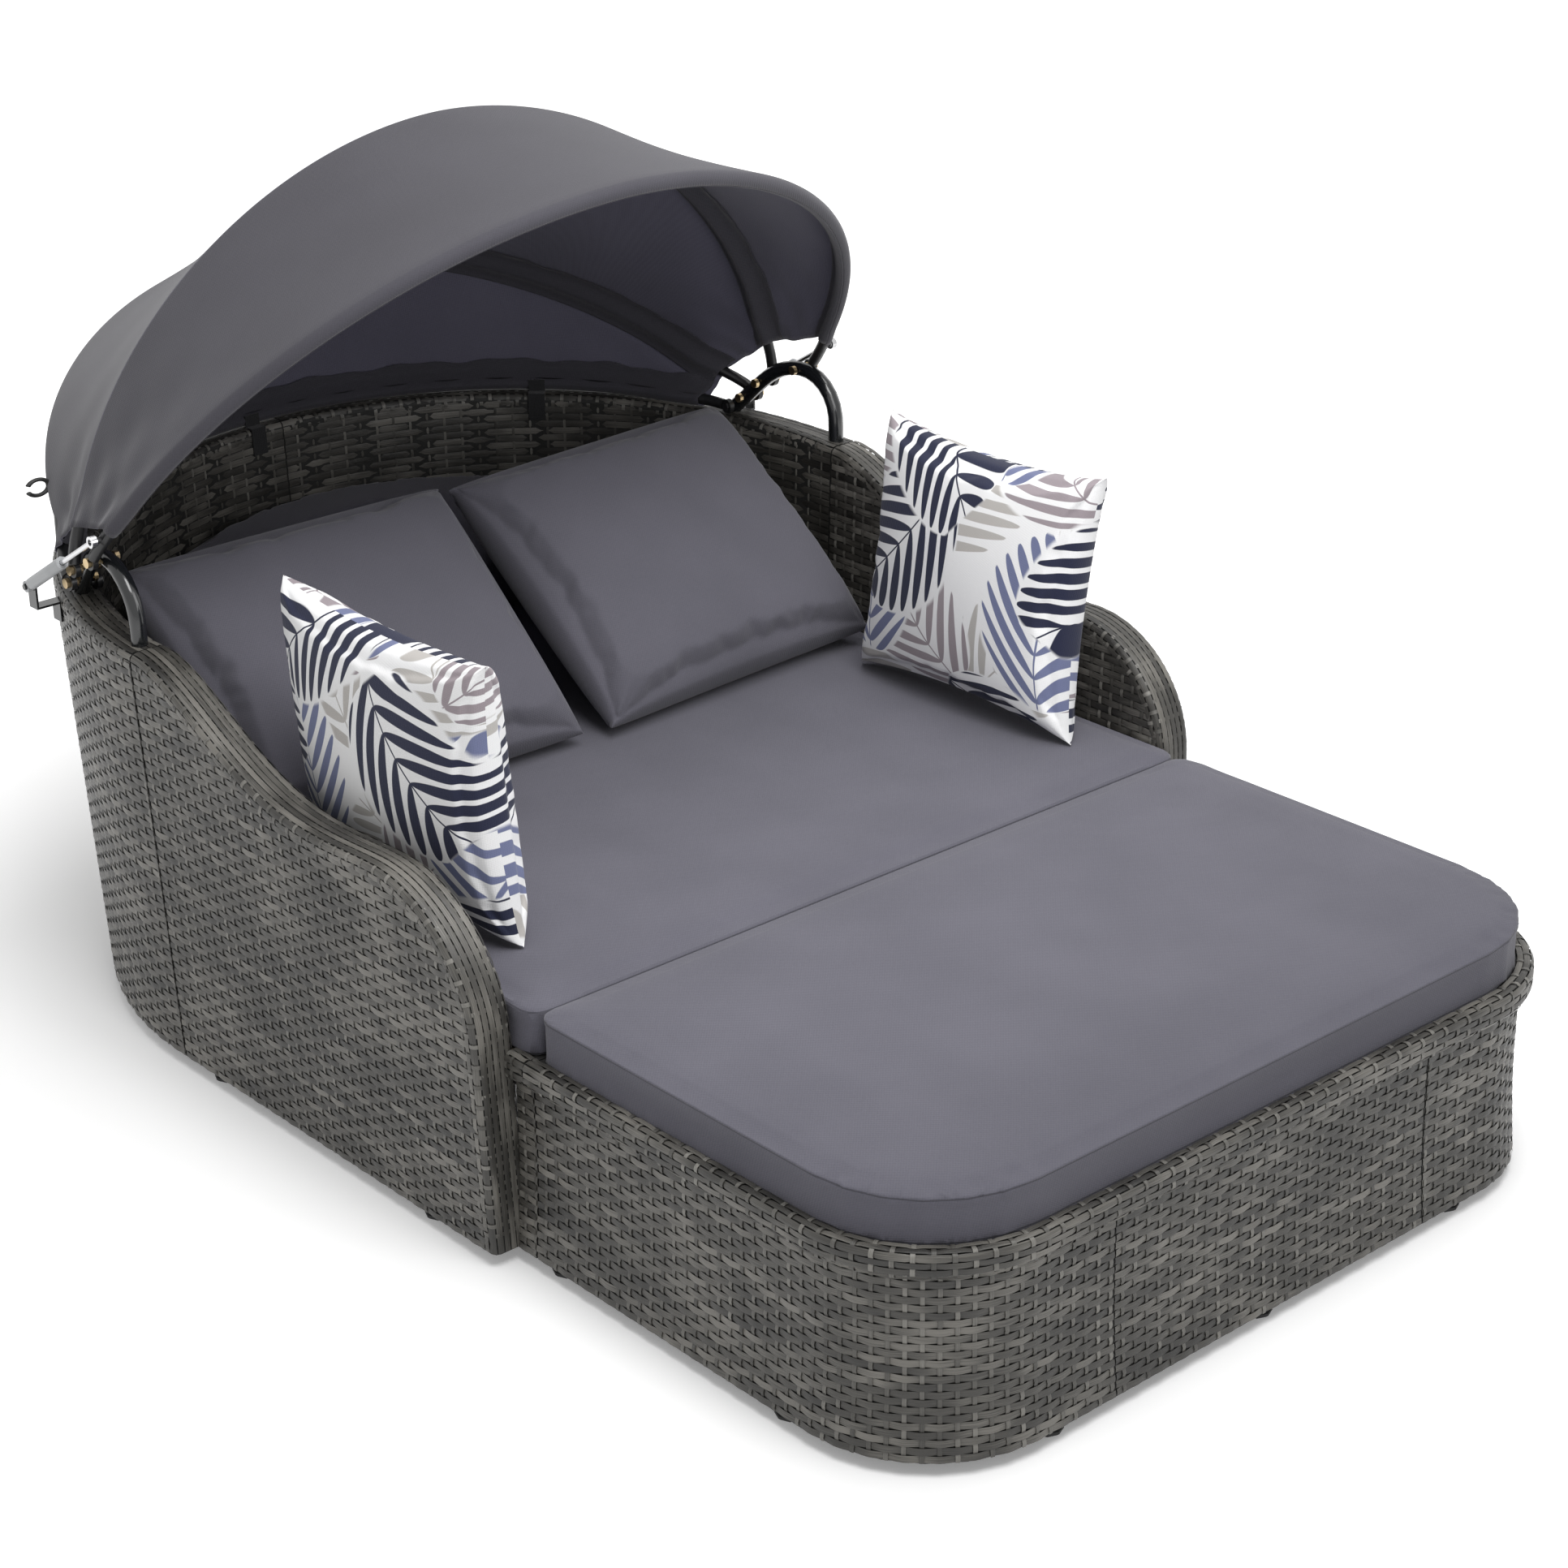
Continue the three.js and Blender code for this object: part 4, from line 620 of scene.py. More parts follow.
def top_line():
    """Arm's edge line from the foot of its front up over the nose to the back seam."""
    front = [(ARM_FRONT, z) for z in np.arange(WALL_FOOT, ARM_NOSE, 4.0)]
    y = ARM_FRONT + ARM_NOSE_REACH * (1 - np.cos(np.linspace(0, QUARTER, 60)))
    y = np.concatenate([y, np.linspace(ARM_FRONT + ARM_NOSE_REACH, ARM_SEAM - 1.5, 120)[1:]])
    points = np.array(front + list(zip(y, arm_top(y))))
    run = np.concatenate([[0], np.cumsum(np.linalg.norm(np.diff(points, axis=0), axis=1))])
    slope = np.gradient(points, run, axis=0)
    slope /= np.linalg.norm(slope, axis=1)[:, None]
    return run, points, slope


LINE_RUN, LINE_POINTS, LINE_SLOPE = top_line()


def arm_edge(side):
    def surface(u, a, raised):
        y, z = (np.interp(u, LINE_RUN, LINE_POINTS[:, i]) for i in (0, 1))
        ty, tz = (np.interp(u, LINE_RUN, LINE_SLOPE[:, i]) for i in (0, 1))
        off, drop = edge_section(a, raised, WALL_HALF, WALL_EDGE)
        return wall_at(side, y + tz * drop, off, z - ty * drop)
    return surface


def back_edge(side):
    def surface(u, a, raised):
        off, drop = edge_section(a, raised, WALL_HALF, WALL_EDGE)
        return wall_at(side, u, off, wall_top(u) - drop)
    return surface


BACK_END = BACK_CENTRE + WALL_MIDDLE * QUARTER - 1.2
INNER_LOW = 345
INNER_PITCH = 11
EDGE_COVER = 9
EDGE_LANES = 9
EDGE_WIDTH = 82
EDGE_WRAPS = 28
WALL_LOW = WALL_FOOT + 1
ARM_RUN = (ARM_FRONT + 6, ARM_SEAM - 1.6)
BACK_RUN = (ARM_SEAM + 1.6, BACK_END)
BACK_HIGH = RIM_AT_BACK - 4


def under_edge(u):
    return wall_top(u) - EDGE_COVER


def under_nose(u):
    return np.where(u < ARM_FRONT + 7, 0, under_edge(u))


for name, side in (("left", -1), ("right", 1)):
    def outer(u, v, raised, side=side):
        return wall_at(side, u, WALL_HALF + raised, v)

    def inner(u, v, raised, side=side):
        return wall_at(side, u, -WALL_HALF - raised, v)

    left = side < 0
    panel(f"arm_outside_{name}", outer, ARM_RUN, (WALL_LOW, RIM_AT_ARM), "daybed_base",
          top=under_nose, flip=left, seed=1.0 + side)
    panel(f"back_outside_{name}", outer, BACK_RUN, (WALL_LOW, BACK_HIGH), "daybed_base",
          top=under_edge, flip=left, seed=4.0 + side)
    panel(f"arm_inside_{name}", inner, ARM_RUN, (INNER_LOW, RIM_AT_ARM), "daybed_base",
          top=under_nose, pitch=INNER_PITCH, flip=not left, seed=7.0 + side)
    panel(f"back_inside_{name}", inner, BACK_RUN, (INNER_LOW, BACK_HIGH), "daybed_base",
          top=under_edge, pitch=INNER_PITCH, stakes=27, wave=0.5, flip=not left, seed=9.0 + side,
          stake_width=4)
    band(f"arm_edge_{name}", arm_edge(side), (2, LINE_RUN[-1] - 0.5), EDGE_LANES, EDGE_WIDTH, "daybed_base",
         stakes=EDGE_WRAPS, flip=left, seed=3.0 + side)
    band(f"back_edge_{name}", back_edge(side), BACK_RUN, EDGE_LANES, EDGE_WIDTH, "daybed_base",
         stakes=EDGE_WRAPS, flip=left, seed=5.0 + side, lift=1.2)


# Woven ottoman and seat front
def skirt_at(s, off, height):
    """Ottoman's side at a length from the middle of its front, stood out by an offset."""
    size = np.abs(s)
    flat = SKIRT_HALF - SKIRT_CORNER
    angle = np.clip((size - flat) / SKIRT_CORNER, 0, QUARTER)
    past = np.clip(size - flat - SKIRT_CORNER * QUARTER, 0, None)
    x = np.clip(size, 0, flat) + (SKIRT_CORNER + off) * np.sin(angle)
    y = SKIRT_FRONT + SKIRT_CORNER - (SKIRT_CORNER + off) * np.cos(angle) + past
    return np.column_stack([np.sign(s) * x, y, height + 0 * s])


def skirt_offset(height):
    share = (height - WALL_FOOT) / (RIM_FOOT - WALL_FOOT)
    return -SKIRT_WAIST * np.sin(np.minimum(share * 1.5, 1) * QUARTER)


def skirt(u, v, raised):
    return skirt_at(u, skirt_offset(v) + raised, v)


def rim_section(a, raised):
    """Offset and height over the ottoman's rim, from its foot up and in under the cushion."""
    arc = RIM_EDGE * QUARTER
    rise = RIM_TOP - RIM_FOOT - 2 * RIM_EDGE
    low = np.clip(a / RIM_EDGE, 0, QUARTER)
    middle = np.clip(a - arc, 0, rise)
    high = np.clip((a - arc - rise) / RIM_EDGE, 0, QUARTER)
    flat = np.clip(a - arc * 2 - rise, 0, None)
    turn = high - (QUARTER - low)
    off = RIM_PROUD - RIM_EDGE + (RIM_EDGE + raised) * np.cos(turn) - flat
    height = RIM_FOOT + RIM_EDGE + middle + (RIM_EDGE + raised) * np.sin(turn)
    return off, height


RIM_WIDTH = 50


def ottoman_rim(u, a, raised):
    off, height = rim_section(a + RIM_WIDTH / 2, raised)
    return skirt_at(u, off, height)


SIDE_END = SKIRT_HALF - SKIRT_CORNER + SKIRT_CORNER * QUARTER - SKIRT_FRONT - SKIRT_CORNER - 1.5
SKIRT_RISE = (WALL_LOW, RIM_FOOT - 1)
SKIRT_OPEN = SKIRT_SEAM + 1.2
SKIRT_CLOSE = SKIRT_SEAM - 1.2
RIM_LANES = 6
panel("ottoman_left", skirt, (-SIDE_END, -SKIRT_OPEN), SKIRT_RISE, "ottoman", seed=12.0)
panel("ottoman_middle", skirt, (-SKIRT_CLOSE, SKIRT_CLOSE), SKIRT_RISE, "ottoman", seed=13.0)
panel("ottoman_right", skirt, (SKIRT_OPEN, SIDE_END), SKIRT_RISE, "ottoman", seed=14.0)
band("ottoman_rim", ottoman_rim, (-SIDE_END, SIDE_END), RIM_LANES, RIM_WIDTH, "ottoman", stakes=44, seed=15.0,
     edge_only=False)


SEAT_END = (SIDE_END + 3, SIDE_END + 37)
for name, side in (("left", -1), ("right", 1)):
    run = tuple(sorted(side * end for end in SEAT_END))
    panel(f"seat_front_end_{name}", skirt, run, SKIRT_RISE, "daybed_base", seed=18.0 + side)
    band(f"seat_front_rim_{name}", ottoman_rim, run, RIM_LANES, RIM_WIDTH, "daybed_base", stakes=22,
         seed=20.0 + side, edge_only=False)


def seat_front(u, v, raised):
    return np.column_stack([u, 1 - raised + 0 * u, v + 0 * u])


def ottoman_rear(u, v, raised):
    return np.column_stack([u, -1 + raised + 0 * u, v + 0 * u])


SEAT_FRONT_HALF = SKIRT_HALF - 12
OTTOMAN_REAR_HALF = SKIRT_HALF - 20
panel("seat_front", seat_front, (-SEAT_FRONT_HALF, SEAT_FRONT_HALF), (WALL_LOW, RIM_TOP - 4), "daybed_base",
      wave=0.22, lift=0.45, seed=16.0)
panel("ottoman_back", ottoman_rear, (-OTTOMAN_REAR_HALF, OTTOMAN_REAR_HALF), SKIRT_RISE, "ottoman",
      wave=0.22, lift=0.45, flip=True, seed=17.0)


# Hood
def hoop(pivot, reach, draw, angle, outward):
    across = math.sqrt((WALL_MIDDLE + LEAN * (RIM_AT_ARM - WALL_FOOT)) ** 2 - (pivot[0] - BACK_CENTRE) ** 2)
    across += outward * 21
    return {"pivot": pivot, "reach": reach, "half": across - draw, "across": across,
            "open": math.radians(angle)}


HOOP_RADIUS = 8.5
HOOP_POWER = 1.9
HOOP_SETTLE = 110
CLOTH_GAP = 0.5
CLOTH_START = 0.125
SHEET_LIFT = 1.1
FRONT_HEM = math.radians(150)
REAR_HEM = math.radians(95)
FRONT = hoop((829.99, 715.92), 584, 8, 129.5, 1)
MIDDLE = hoop((902.56, 682.64), 506, 15, 93, 1)
THIRD = hoop((931.33, 654.86), 514, 35, 28.5, 1)
REAR = hoop((945.72, 640.96), 416, 19, 3, -1)


def hoop_point(bow, t):
    out = bow["reach"] * max(math.sin(t), 0) ** (2 / HOOP_POWER)
    wide = bow["half"] * abs(math.cos(t)) ** (2 / HOOP_POWER)
    settle = smooth(min(out / HOOP_SETTLE, 1))
    x = math.copysign(bow["across"] + (wide - bow["across"]) * settle, math.cos(t))
    y, z = bow["pivot"]
    return Vector((x, y + out * math.cos(bow["open"]), z + out * math.sin(bow["open"])))


def panel_frame(first, second, t, share):
    small = CLOTH_START / 4

    def at(place):
        return hoop_point(first, place).lerp(hoop_point(second, place), share)

    along = (at(t + small) - at(t - small)).normalized()
    across = hoop_point(second, t) - hoop_point(first, t)
    normal = across.cross(along).normalized()
    return normal, -normal.cross(along).normalized()


def seam_turn(before, shared, after, t):
    one = panel_frame(before, shared, t, 1)[0]
    two = panel_frame(shared, after, t, 0)[0]
    return max(one.angle(two) / 2 - 0.055, 0)


def turn_about(centre, sides, towards, angle, steps, radius):
    normal, across = sides
    points = []
    for i in range(steps):
        turn = angle * (steps - i) / steps
        points.append(centre + normal * radius * math.cos(turn) + across * towards * radius * math.sin(turn))
    return points


def ripple(t, share, seed):
    """Soft pulls in the cloth: long diagonals near the legs and faint waves along the hoops."""
    leg = min(t, math.pi - t) - CLOTH_START
    near = math.exp(-leg / 0.28)
    side = 1 if t < QUARTER else 2
    pull = math.sin(share * 9.0 + leg * 16 + seed * side) + 0.6 * math.sin(share * 17 - leg * 23 + seed * 2.3)
    calm = math.sin(t * 7 + share * 3 + seed) * math.sin(share * math.pi)
    edge = math.sin(share * math.pi) ** 0.5
    return (2.6 * near * pull + 0.7 * calm) * edge


def hood_turns(steps, inset=0.0):
    """Even places along a hoop, clear of its legs."""
    start = CLOTH_START + inset
    return [start + (math.pi - 2 * start) * i / steps for i in range(steps + 1)]


def wraps(bows, t):
    """Angles that a panel goes round its two hoops: half of a shared seam, or the whole of a hem."""
    first, second, before, after = bows
    start = seam_turn(before, first, second, t) if before else FRONT_HEM
    end = seam_turn(first, second, after, t) if after else REAR_HEM
    return start, end


def hood_line(bows, t, seed, bulge):
    first, second, before, after = bows
    reach = HOOP_RADIUS + CLOTH_GAP + SHEET_LIFT
    start_turn, end_turn = wraps(bows, t)
    near, far = panel_frame(first, second, t, 0), panel_frame(first, second, t, 1)
    start = turn_about(hoop_point(first, t), near, -1, start_turn, 4 if before else 12, reach)
    end = turn_about(hoop_point(second, t), far, 1, end_turn, 4 if after else 9, reach)
    middle = []
    for i in range(25):
        share = i / 24
        lift = reach + bulge * math.sin(share * math.pi) * math.sin(t) + ripple(t, share, seed)
        place = hoop_point(first, t).lerp(hoop_point(second, t), share)
        middle.append(place + panel_frame(first, second, t, share)[0] * lift)
    return start + middle + end[::-1]


def hood_sheet(name, bows, seed, bulge):
    steps = 150
    lines = [hood_line(bows, t, seed, bulge) for t in hood_turns(steps)]
    across = len(lines[0]) - 1
    shape = grid(across, steps)
    bmesh.ops.reverse_faces(shape, faces=shape.faces)
    mesh = mesh_of(name, shape)
    column, line = grid_places(mesh, across, steps)
    points = np.array([[tuple(point) for point in row] for row in lines])
    places = points[line.astype(int), column.astype(int)]
    set_points(mesh, row_frame(places), np.column_stack([column, line]))
    piece = kept(name, mesh, [HOOD, HOOD_INSIDE_SHADED], None)
    thick = piece.modifiers.new("cloth", "SOLIDIFY")
    thick.thickness = 0.0014
    thick.offset = 0
    # The inner face takes the second slot, the hood cloth with painted shade.
    thick.material_offset = 1
    return piece


def run_length(points):
    return sum((b - a).length for a, b in zip(points, points[1:]))


def triangle_area(a, b, c):
    return (b - a).cross(c - a).length / 2


def panel_cut(bows):
    """Width, depth and area in metres of a hood panel's cut: flat cloth between and round its hoops."""
    steps = 300
    turns = hood_turns(steps)
    one, two = ([hoop_point(bow, t) for t in turns] for bow in bows[:2])
    starts, ends = zip(*[[(HOOP_RADIUS + CLOTH_GAP) * turn for turn in wraps(bows, t)] for t in turns])
    depth = max((b - a).length + start + end for a, b, start, end in zip(one, two, starts, ends))
    area = 0
    for i in range(steps):
        area += triangle_area(one[i], one[i + 1], two[i + 1]) + triangle_area(one[i], two[i + 1], two[i])
        area += (one[i + 1] - one[i]).length * starts[i] + (two[i + 1] - two[i]).length * ends[i]
    return max(run_length(one), run_length(two)) * MM, depth * MM, area * MM * MM


HOOD_PANELS = (
    ("front", (FRONT, MIDDLE, None, THIRD), 0.4, -9, ["front_hoop", "middle_hoop"]),
    ("middle", (MIDDLE, THIRD, FRONT, REAR), 1.7, -11, ["middle_hoop", "third_hoop"]),
    ("rear", (THIRD, REAR, MIDDLE, None), 3.1, 1, ["third_hoop", "rear_hoop"]),
)
for part, bows, seed, bulge, hoops in HOOD_PANELS:
    piece = hood_sheet(f"hood_cloth_{part}", bows, seed, bulge)
    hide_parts(f"canopy_{part}")
    width, depth, area = panel_cut(bows)
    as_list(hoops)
    if part == "front":
        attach(piece, "middle_hoop")
        anchor = (0, SEAM + MIDDLE["pivot"][0] * MM, 0)
        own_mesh(piece)
    elif part == "rear":
        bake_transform(piece, "daybed_base", "third_hoop",
                 start=(0, SEAM + 1.200, 0.66), end=(0, SEAM + 1.200, 0.86))
    else:
        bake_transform(piece, "daybed_base", "middle_hoop",
                 start=(0, SEAM + 1.330, 0.80), end=(0, SEAM + 0.900, 1.10))


def curve_through(points, count):
    """Even run of places on a smooth curve through the points."""
    ends = [points[0] * 2 - points[1], *points, points[-1] * 2 - points[-2]]
    run = []
    for i in range(count + 1):
        where = min(i * (len(points) - 1) / count, len(points) - 1.000001)
        k = int(where)
        s = where - k
        a, b, c, d = ends[k:k + 4]
        square, cube = a * 2 - b * 5 + c * 4 - d, b * 3 - a - c * 3 + d
        run.append((b * 2 + (c - a) * s + square * s * s + cube * s ** 3) / 2)
    return run


SLEEVE_ROUND = 11.4
SLEEVE_TOP = 10.9
SLEEVE_DIP = 2.6


def sleeve_line(before, bow, after, t, seed):
    """Section of the cloth tunnel that holds a hoop, on the inner side of the hood."""
    centre = hoop_point(bow, t)
    inner = HOOP_RADIUS + CLOTH_GAP - 0.7
    loose = 2.2 * math.sin(t * 21 + seed) + 1.4 * math.sin(t * 47 + seed * 3)
    points = []
    if before:
        normal = panel_frame(before, bow, t, 1)[0]
        away = (hoop_point(before, t) - centre).normalized()
        points += [centre + away * (34 + loose) + normal * (inner - 2.0 - abs(loose)),
                   centre + away * 22 + normal * (inner - SLEEVE_DIP), centre + away * 13 + normal * 0.5]
        one = normal
    else:
        normal, across = panel_frame(bow, after, t, 0)
        for turn in (150, 190, 225):
            angle = math.radians(turn)
            points.append(centre + (normal * math.cos(angle) - across * math.sin(angle)) * SLEEVE_ROUND)
        one = normal
    if after:
        normal = panel_frame(bow, after, t, 0)[0]
        away = (hoop_point(after, t) - centre).normalized()
        two = normal
        tail = [centre + away * 13 + normal * 0.5, centre + away * 20 + normal * (inner - SLEEVE_DIP),
                centre + away * 27 + normal * (inner - 1.2)]
    else:
        normal, across = panel_frame(before, bow, t, 1)
        two = normal
        turns = map(math.radians, (150, 120, 100))
        tail = [centre + (normal * math.cos(a) + across * math.sin(a)) * SLEEVE_ROUND for a in turns]
    if before:
        points.append(centre - (one + two).normalized() * SLEEVE_TOP)
    return curve_through(points + tail, 18)


def hood_sleeve(name, before, bow, after, body, seed):
    """Cloth tunnel or hem along a hoop; it is cut as a strip as long as the hoop's run."""
    steps = 170
    places = hood_turns(steps, 0.012)
    lines = [sleeve_line(before, bow, after, t, seed) for t in places]
    length = run_length([hoop_point(bow, t) for t in places]) * MM
    width = sum(run_length(line) for line in lines) / len(lines) * MM
    points = np.array([[tuple(point) for point in line] for line in lines])
    across = points.shape[1] - 1
    mesh = mesh_of(name, grid(across, steps))
    column, line = grid_places(mesh, across, steps)
    set_points(mesh, row_frame(points[line.astype(int), column.astype(int)]), np.column_stack([column, line]))
    # The sleeves sit inside the hood and take the hood cloth with painted shade.
    piece = kept(name, mesh, [HOOD_INSIDE_SHADED], None)
    thick = piece.modifiers.new("cloth", "SOLIDIFY")
    thick.thickness = 0.0008
    thick.offset = 0
    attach(piece, body)


hood_sleeve("hood_hem_front", None, FRONT, MIDDLE, "front_hoop", 0.3)
hood_sleeve("hood_sleeve_middle", FRONT, MIDDLE, THIRD, "middle_hoop", 1.1)
hood_sleeve("hood_sleeve_third", MIDDLE, THIRD, REAR, "third_hoop", 2.2)
hood_sleeve("hood_hem_rear", THIRD, REAR, None, "daybed_base", 3.3)


def elastic_loop():
    """Small loop of elastic, closed by the seam over the third hoop, for tying the folded hood."""
    shape = bmesh.new()
    bmesh.ops.create_circle(shape, cap_ends=True, segments=10, radius=2.6 * MM)
    bmesh.ops.rotate(shape, verts=shape.verts, matrix=Matrix.Rotation(QUARTER, 3, "X"))
    bmesh.ops.scale(shape, verts=shape.verts, vec=(1, 1, 1.5))
    bmesh.ops.translate(shape, verts=shape.verts, vec=(11 * MM, 0, 0))
    start = shape.verts[:] + shape.edges[:] + shape.faces[:]
    bmesh.ops.spin(shape, geom=start, axis=(0, 0, 1), cent=(0, 0, 0), angle=math.radians(310), steps=36)
    bmesh.ops.recalc_face_normals(shape, faces=shape.faces)
    bmesh.ops.rotate(shape, verts=shape.verts, matrix=Matrix.Rotation(math.radians(25), 3, "Z"))
    bmesh.ops.scale(shape, verts=shape.verts, vec=(1.5, 1, 1))
    bmesh.ops.rotate(shape, verts=shape.verts, matrix=Matrix.Rotation(math.radians(180), 3, "Z"))
    bmesh.ops.rotate(shape, verts=shape.verts, matrix=Matrix.Rotation(QUARTER, 3, "X"))
    spot = Vector((-533 - 24, 1081 + 4, 738)) * MM + Vector((0, SEAM, 0))
    bmesh.ops.translate(shape, verts=shape.verts, vec=spot)
    made("elastic_loop", shape, GLIDE, "third_hoop")


elastic_loop()


# Cushions and pillows
def copied(node):
    """A joined-up copy of a CAD solid as a bmesh."""
    shape = bmesh.new()
    shape.from_mesh(frame["nodes"][node].data)
    bmesh.ops.remove_doubles(shape, verts=shape.verts, dist=0.00002)
    return shape


def applied(piece):
    """The piece's mesh with its modifiers worked in."""
    graph = bpy.context.evaluated_depsgraph_get()
    mesh = bpy.data.meshes.new_from_object(piece.evaluated_get(graph), depsgraph=graph)
    piece.modifiers.clear()
    piece.data = mesh
    return mesh


def remeshed(name, node, voxel, calm, crisp):
    piece = made(name, copied(node), [], None)
    remesh = piece.modifiers.new("cells", "REMESH")
    if crisp:
        remesh.mode = "SHARP"
        remesh.octree_depth = 8 - COARSE
        remesh.scale = 0.9
    else:
        remesh.mode = "VOXEL"
        remesh.voxel_size = voxel
    mesh = applied(piece)
    shape = bmesh.new()
    shape.from_mesh(mesh)
    for _ in range(calm):
        bmesh.ops.smooth_vert(shape, verts=shape.verts, factor=0.5,
                              use_axis_x=True, use_axis_y=True, use_axis_z=True)
    shape.to_mesh(mesh)
    shape.free()
    return piece


def swollen(piece, pull_in, slack, resting, rise, reach, frames=20, facing=None, boxed=False):
    """The cover blown up by its filling from a slightly smaller shape, its underside held flat.

    How far it may move is capped: reach in the cover's plane and inwards, and outwards a
    millimetre with rise on the side that faces the given way."""
    mesh = piece.data
    before = vectors(mesh)
    normals = vectors(mesh, "normal")
    small = before - normals * pull_in
    held = before[:, 2] < before[:, 2].min() + 0.003 if resting else np.zeros(len(before), bool)
    small[held] = before[held]
    set_points(mesh, small)
    group = piece.vertex_groups.new(name="rest")
    group.add([int(i) for i in np.flatnonzero(held)], 1.0, "REPLACE")
    cloth = piece.modifiers.new("filling", "CLOTH")
    settings = cloth.settings
    settings.quality = 4
    settings.mass = 0.3
    settings.tension_stiffness = 12
    settings.compression_stiffness = 12
    settings.shear_stiffness = 4
    settings.bending_stiffness = 0.4
    settings.use_pressure = True
    settings.uniform_pressure_force = 4
    settings.shrink_min = -slack
    settings.effector_weights.gravity = 0
    settings.vertex_group_mass = "rest"
    for number in range(1, frames + 1):
        SCENE.frame_set(number)
    graph = bpy.context.evaluated_depsgraph_get()
    blown = vectors(piece.evaluated_get(graph).data)
    piece.modifiers.clear()
    piece.vertex_groups.clear()
    SCENE.frame_set(1)
    move = blown - before
    out = (move * normals).sum(axis=1)
    front = np.ones(len(before)) if facing is None else np.clip(normals @ np.array(facing) * 2, 0, 1)
    most = 0.001 + front * rise
    aside = move - normals * out[:, None]
    size = np.linalg.norm(aside, axis=1)
    aside *= np.minimum(1, reach / np.maximum(size, 1e-9))[:, None]
    move = aside + normals * np.clip(out, -reach, most)[:, None]
    if boxed:
        level = np.maximum(np.abs(normals[:, 2]), np.sqrt(np.clip(1 - normals[:, 2] ** 2, 0, 1)))
        move *= np.clip((level - 0.93) / 0.06, 0, 1)[:, None]
    set_points(mesh, before + move)


def finished(piece, finish, body, node, fine=False):
    mesh = piece.data
    mesh.materials.clear()
    mesh.materials.append(finish)
    mesh.polygons.foreach_set("use_smooth", np.ones(len(mesh.polygons), bool))
    if fine:
        finer = piece.modifiers.new("finer", "SUBSURF")
        finer.levels = finer.render_levels = 1
        applied(piece)
    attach(piece, body)
    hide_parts(node)


SEAMS = [0.2925, 0.3465]
CUSHION = cushion_finish("cushion_cloth", GREY, GREY_SHADE, SEAMS)
PILLOW = cloth_finish("pillow_cloth", (0.116, 0.112, 0.136), (0.090, 0.088, 0.107))
COARSE = 1

for name, node, body, finish, calm, pull, slack, rise, reach, frames, boxed in (
    ("seat_pad", "seat_cushion", "daybed_base", CUSHION, 0, 3, 0.006, 0, 0.003, 12, True),
    ("ottoman_pad", "ottoman_cushion", "ottoman", CUSHION, 0, 3, 0.006, 0.001, 0.003, 12, True),
    ("back_pad", "back_cushion", "daybed_base", PILLOW, 6, 5, 0.015, 0.001, 0.008, 16, False),
):
    piece = remeshed(name, node, 8 * MM * COARSE, calm, boxed)
    swollen(piece, pull * MM, slack, True, rise, reach, frames, boxed=boxed)
    if boxed:
        round_edges = piece.modifiers.new("edges", "BEVEL")
        round_edges.width = 0.0028
        round_edges.segments = 2
        round_edges.limit_method = "ANGLE"
        round_edges.angle_limit = math.radians(50)
        applied(piece)
    finished(piece, finish, body, node)


PILLOW_FULLNESS = 0.36
PILLOW_SPREAD = 1.25
PILLOW_SLACK = 0.045
PILLOW_REACH = 0.005


def pillow_points(flat_u, flat_v, side, wide, high, thick, draw_in):
    u = np.sin(flat_u * PILLOW_SPREAD) / math.sin(PILLOW_SPREAD)
    v = np.sin(flat_v * PILLOW_SPREAD) / math.sin(PILLOW_SPREAD)
    x = u * (wide / 2 - draw_in * (1 - v * v))
    z = v * (high / 2 - draw_in * (1 - u * u))
    full = np.clip((1 - u * u) * (1 - v * v), 0, 1) ** PILLOW_FULLNESS
    return np.column_stack([x, side * thick / 2 * full, z])


def pillow(name, node, finish, size, place, turn, tilt, cells, rise, facing):
    """Two cloth faces sewn along their edges, filled, tilted back and laid on the seat pad."""
    wide, high, thick, draw_in = size
    across, up = (max(cell // COARSE, 8) for cell in cells)
    shape = grid(across, up)
    bmesh.ops.duplicate(shape, geom=shape.verts[:] + shape.edges[:] + shape.faces[:])
    mesh = mesh_of(name, shape)
    column, line = grid_places(mesh, across, up)
    flat_u, flat_v = column / across * 2 - 1, line / up * 2 - 1
    half = len(column) // 2
    side = np.where(np.arange(len(column)) < half, -1.0, 1.0)
    local = pillow_points(flat_u, flat_v, side, wide, high, thick, draw_in)
    uv = np.column_stack([local[:, 0] + np.where(side < 0, 0, 700), local[:, 2]]) * MM
    stand = Matrix.Translation((place[0], place[1], 0)) @ Matrix.Rotation(turn, 4, "Z")
    stand = stand @ Matrix.Rotation(-math.radians(tilt), 4, "X") @ Matrix.Translation((0, 0, high / 2))
    points = local @ np.array(stand.to_3x3()).T + np.array(stand.translation)
    points[:, 2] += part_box(node)[0].z / MM - points[:, 2].min()
    set_points(mesh, row_frame(points), uv)
    shape = bmesh.new()
    shape.from_mesh(mesh)
    bmesh.ops.remove_doubles(shape, verts=shape.verts, dist=0.0001)
    bmesh.ops.recalc_face_normals(shape, faces=shape.faces)
    shape.to_mesh(mesh)
    shape.free()
    piece = kept(name, mesh, [], None)
    swollen(piece, 4 * MM, PILLOW_SLACK, False, rise, PILLOW_REACH, facing=facing)
    finished(piece, finish, "daybed_base", node, fine=True)


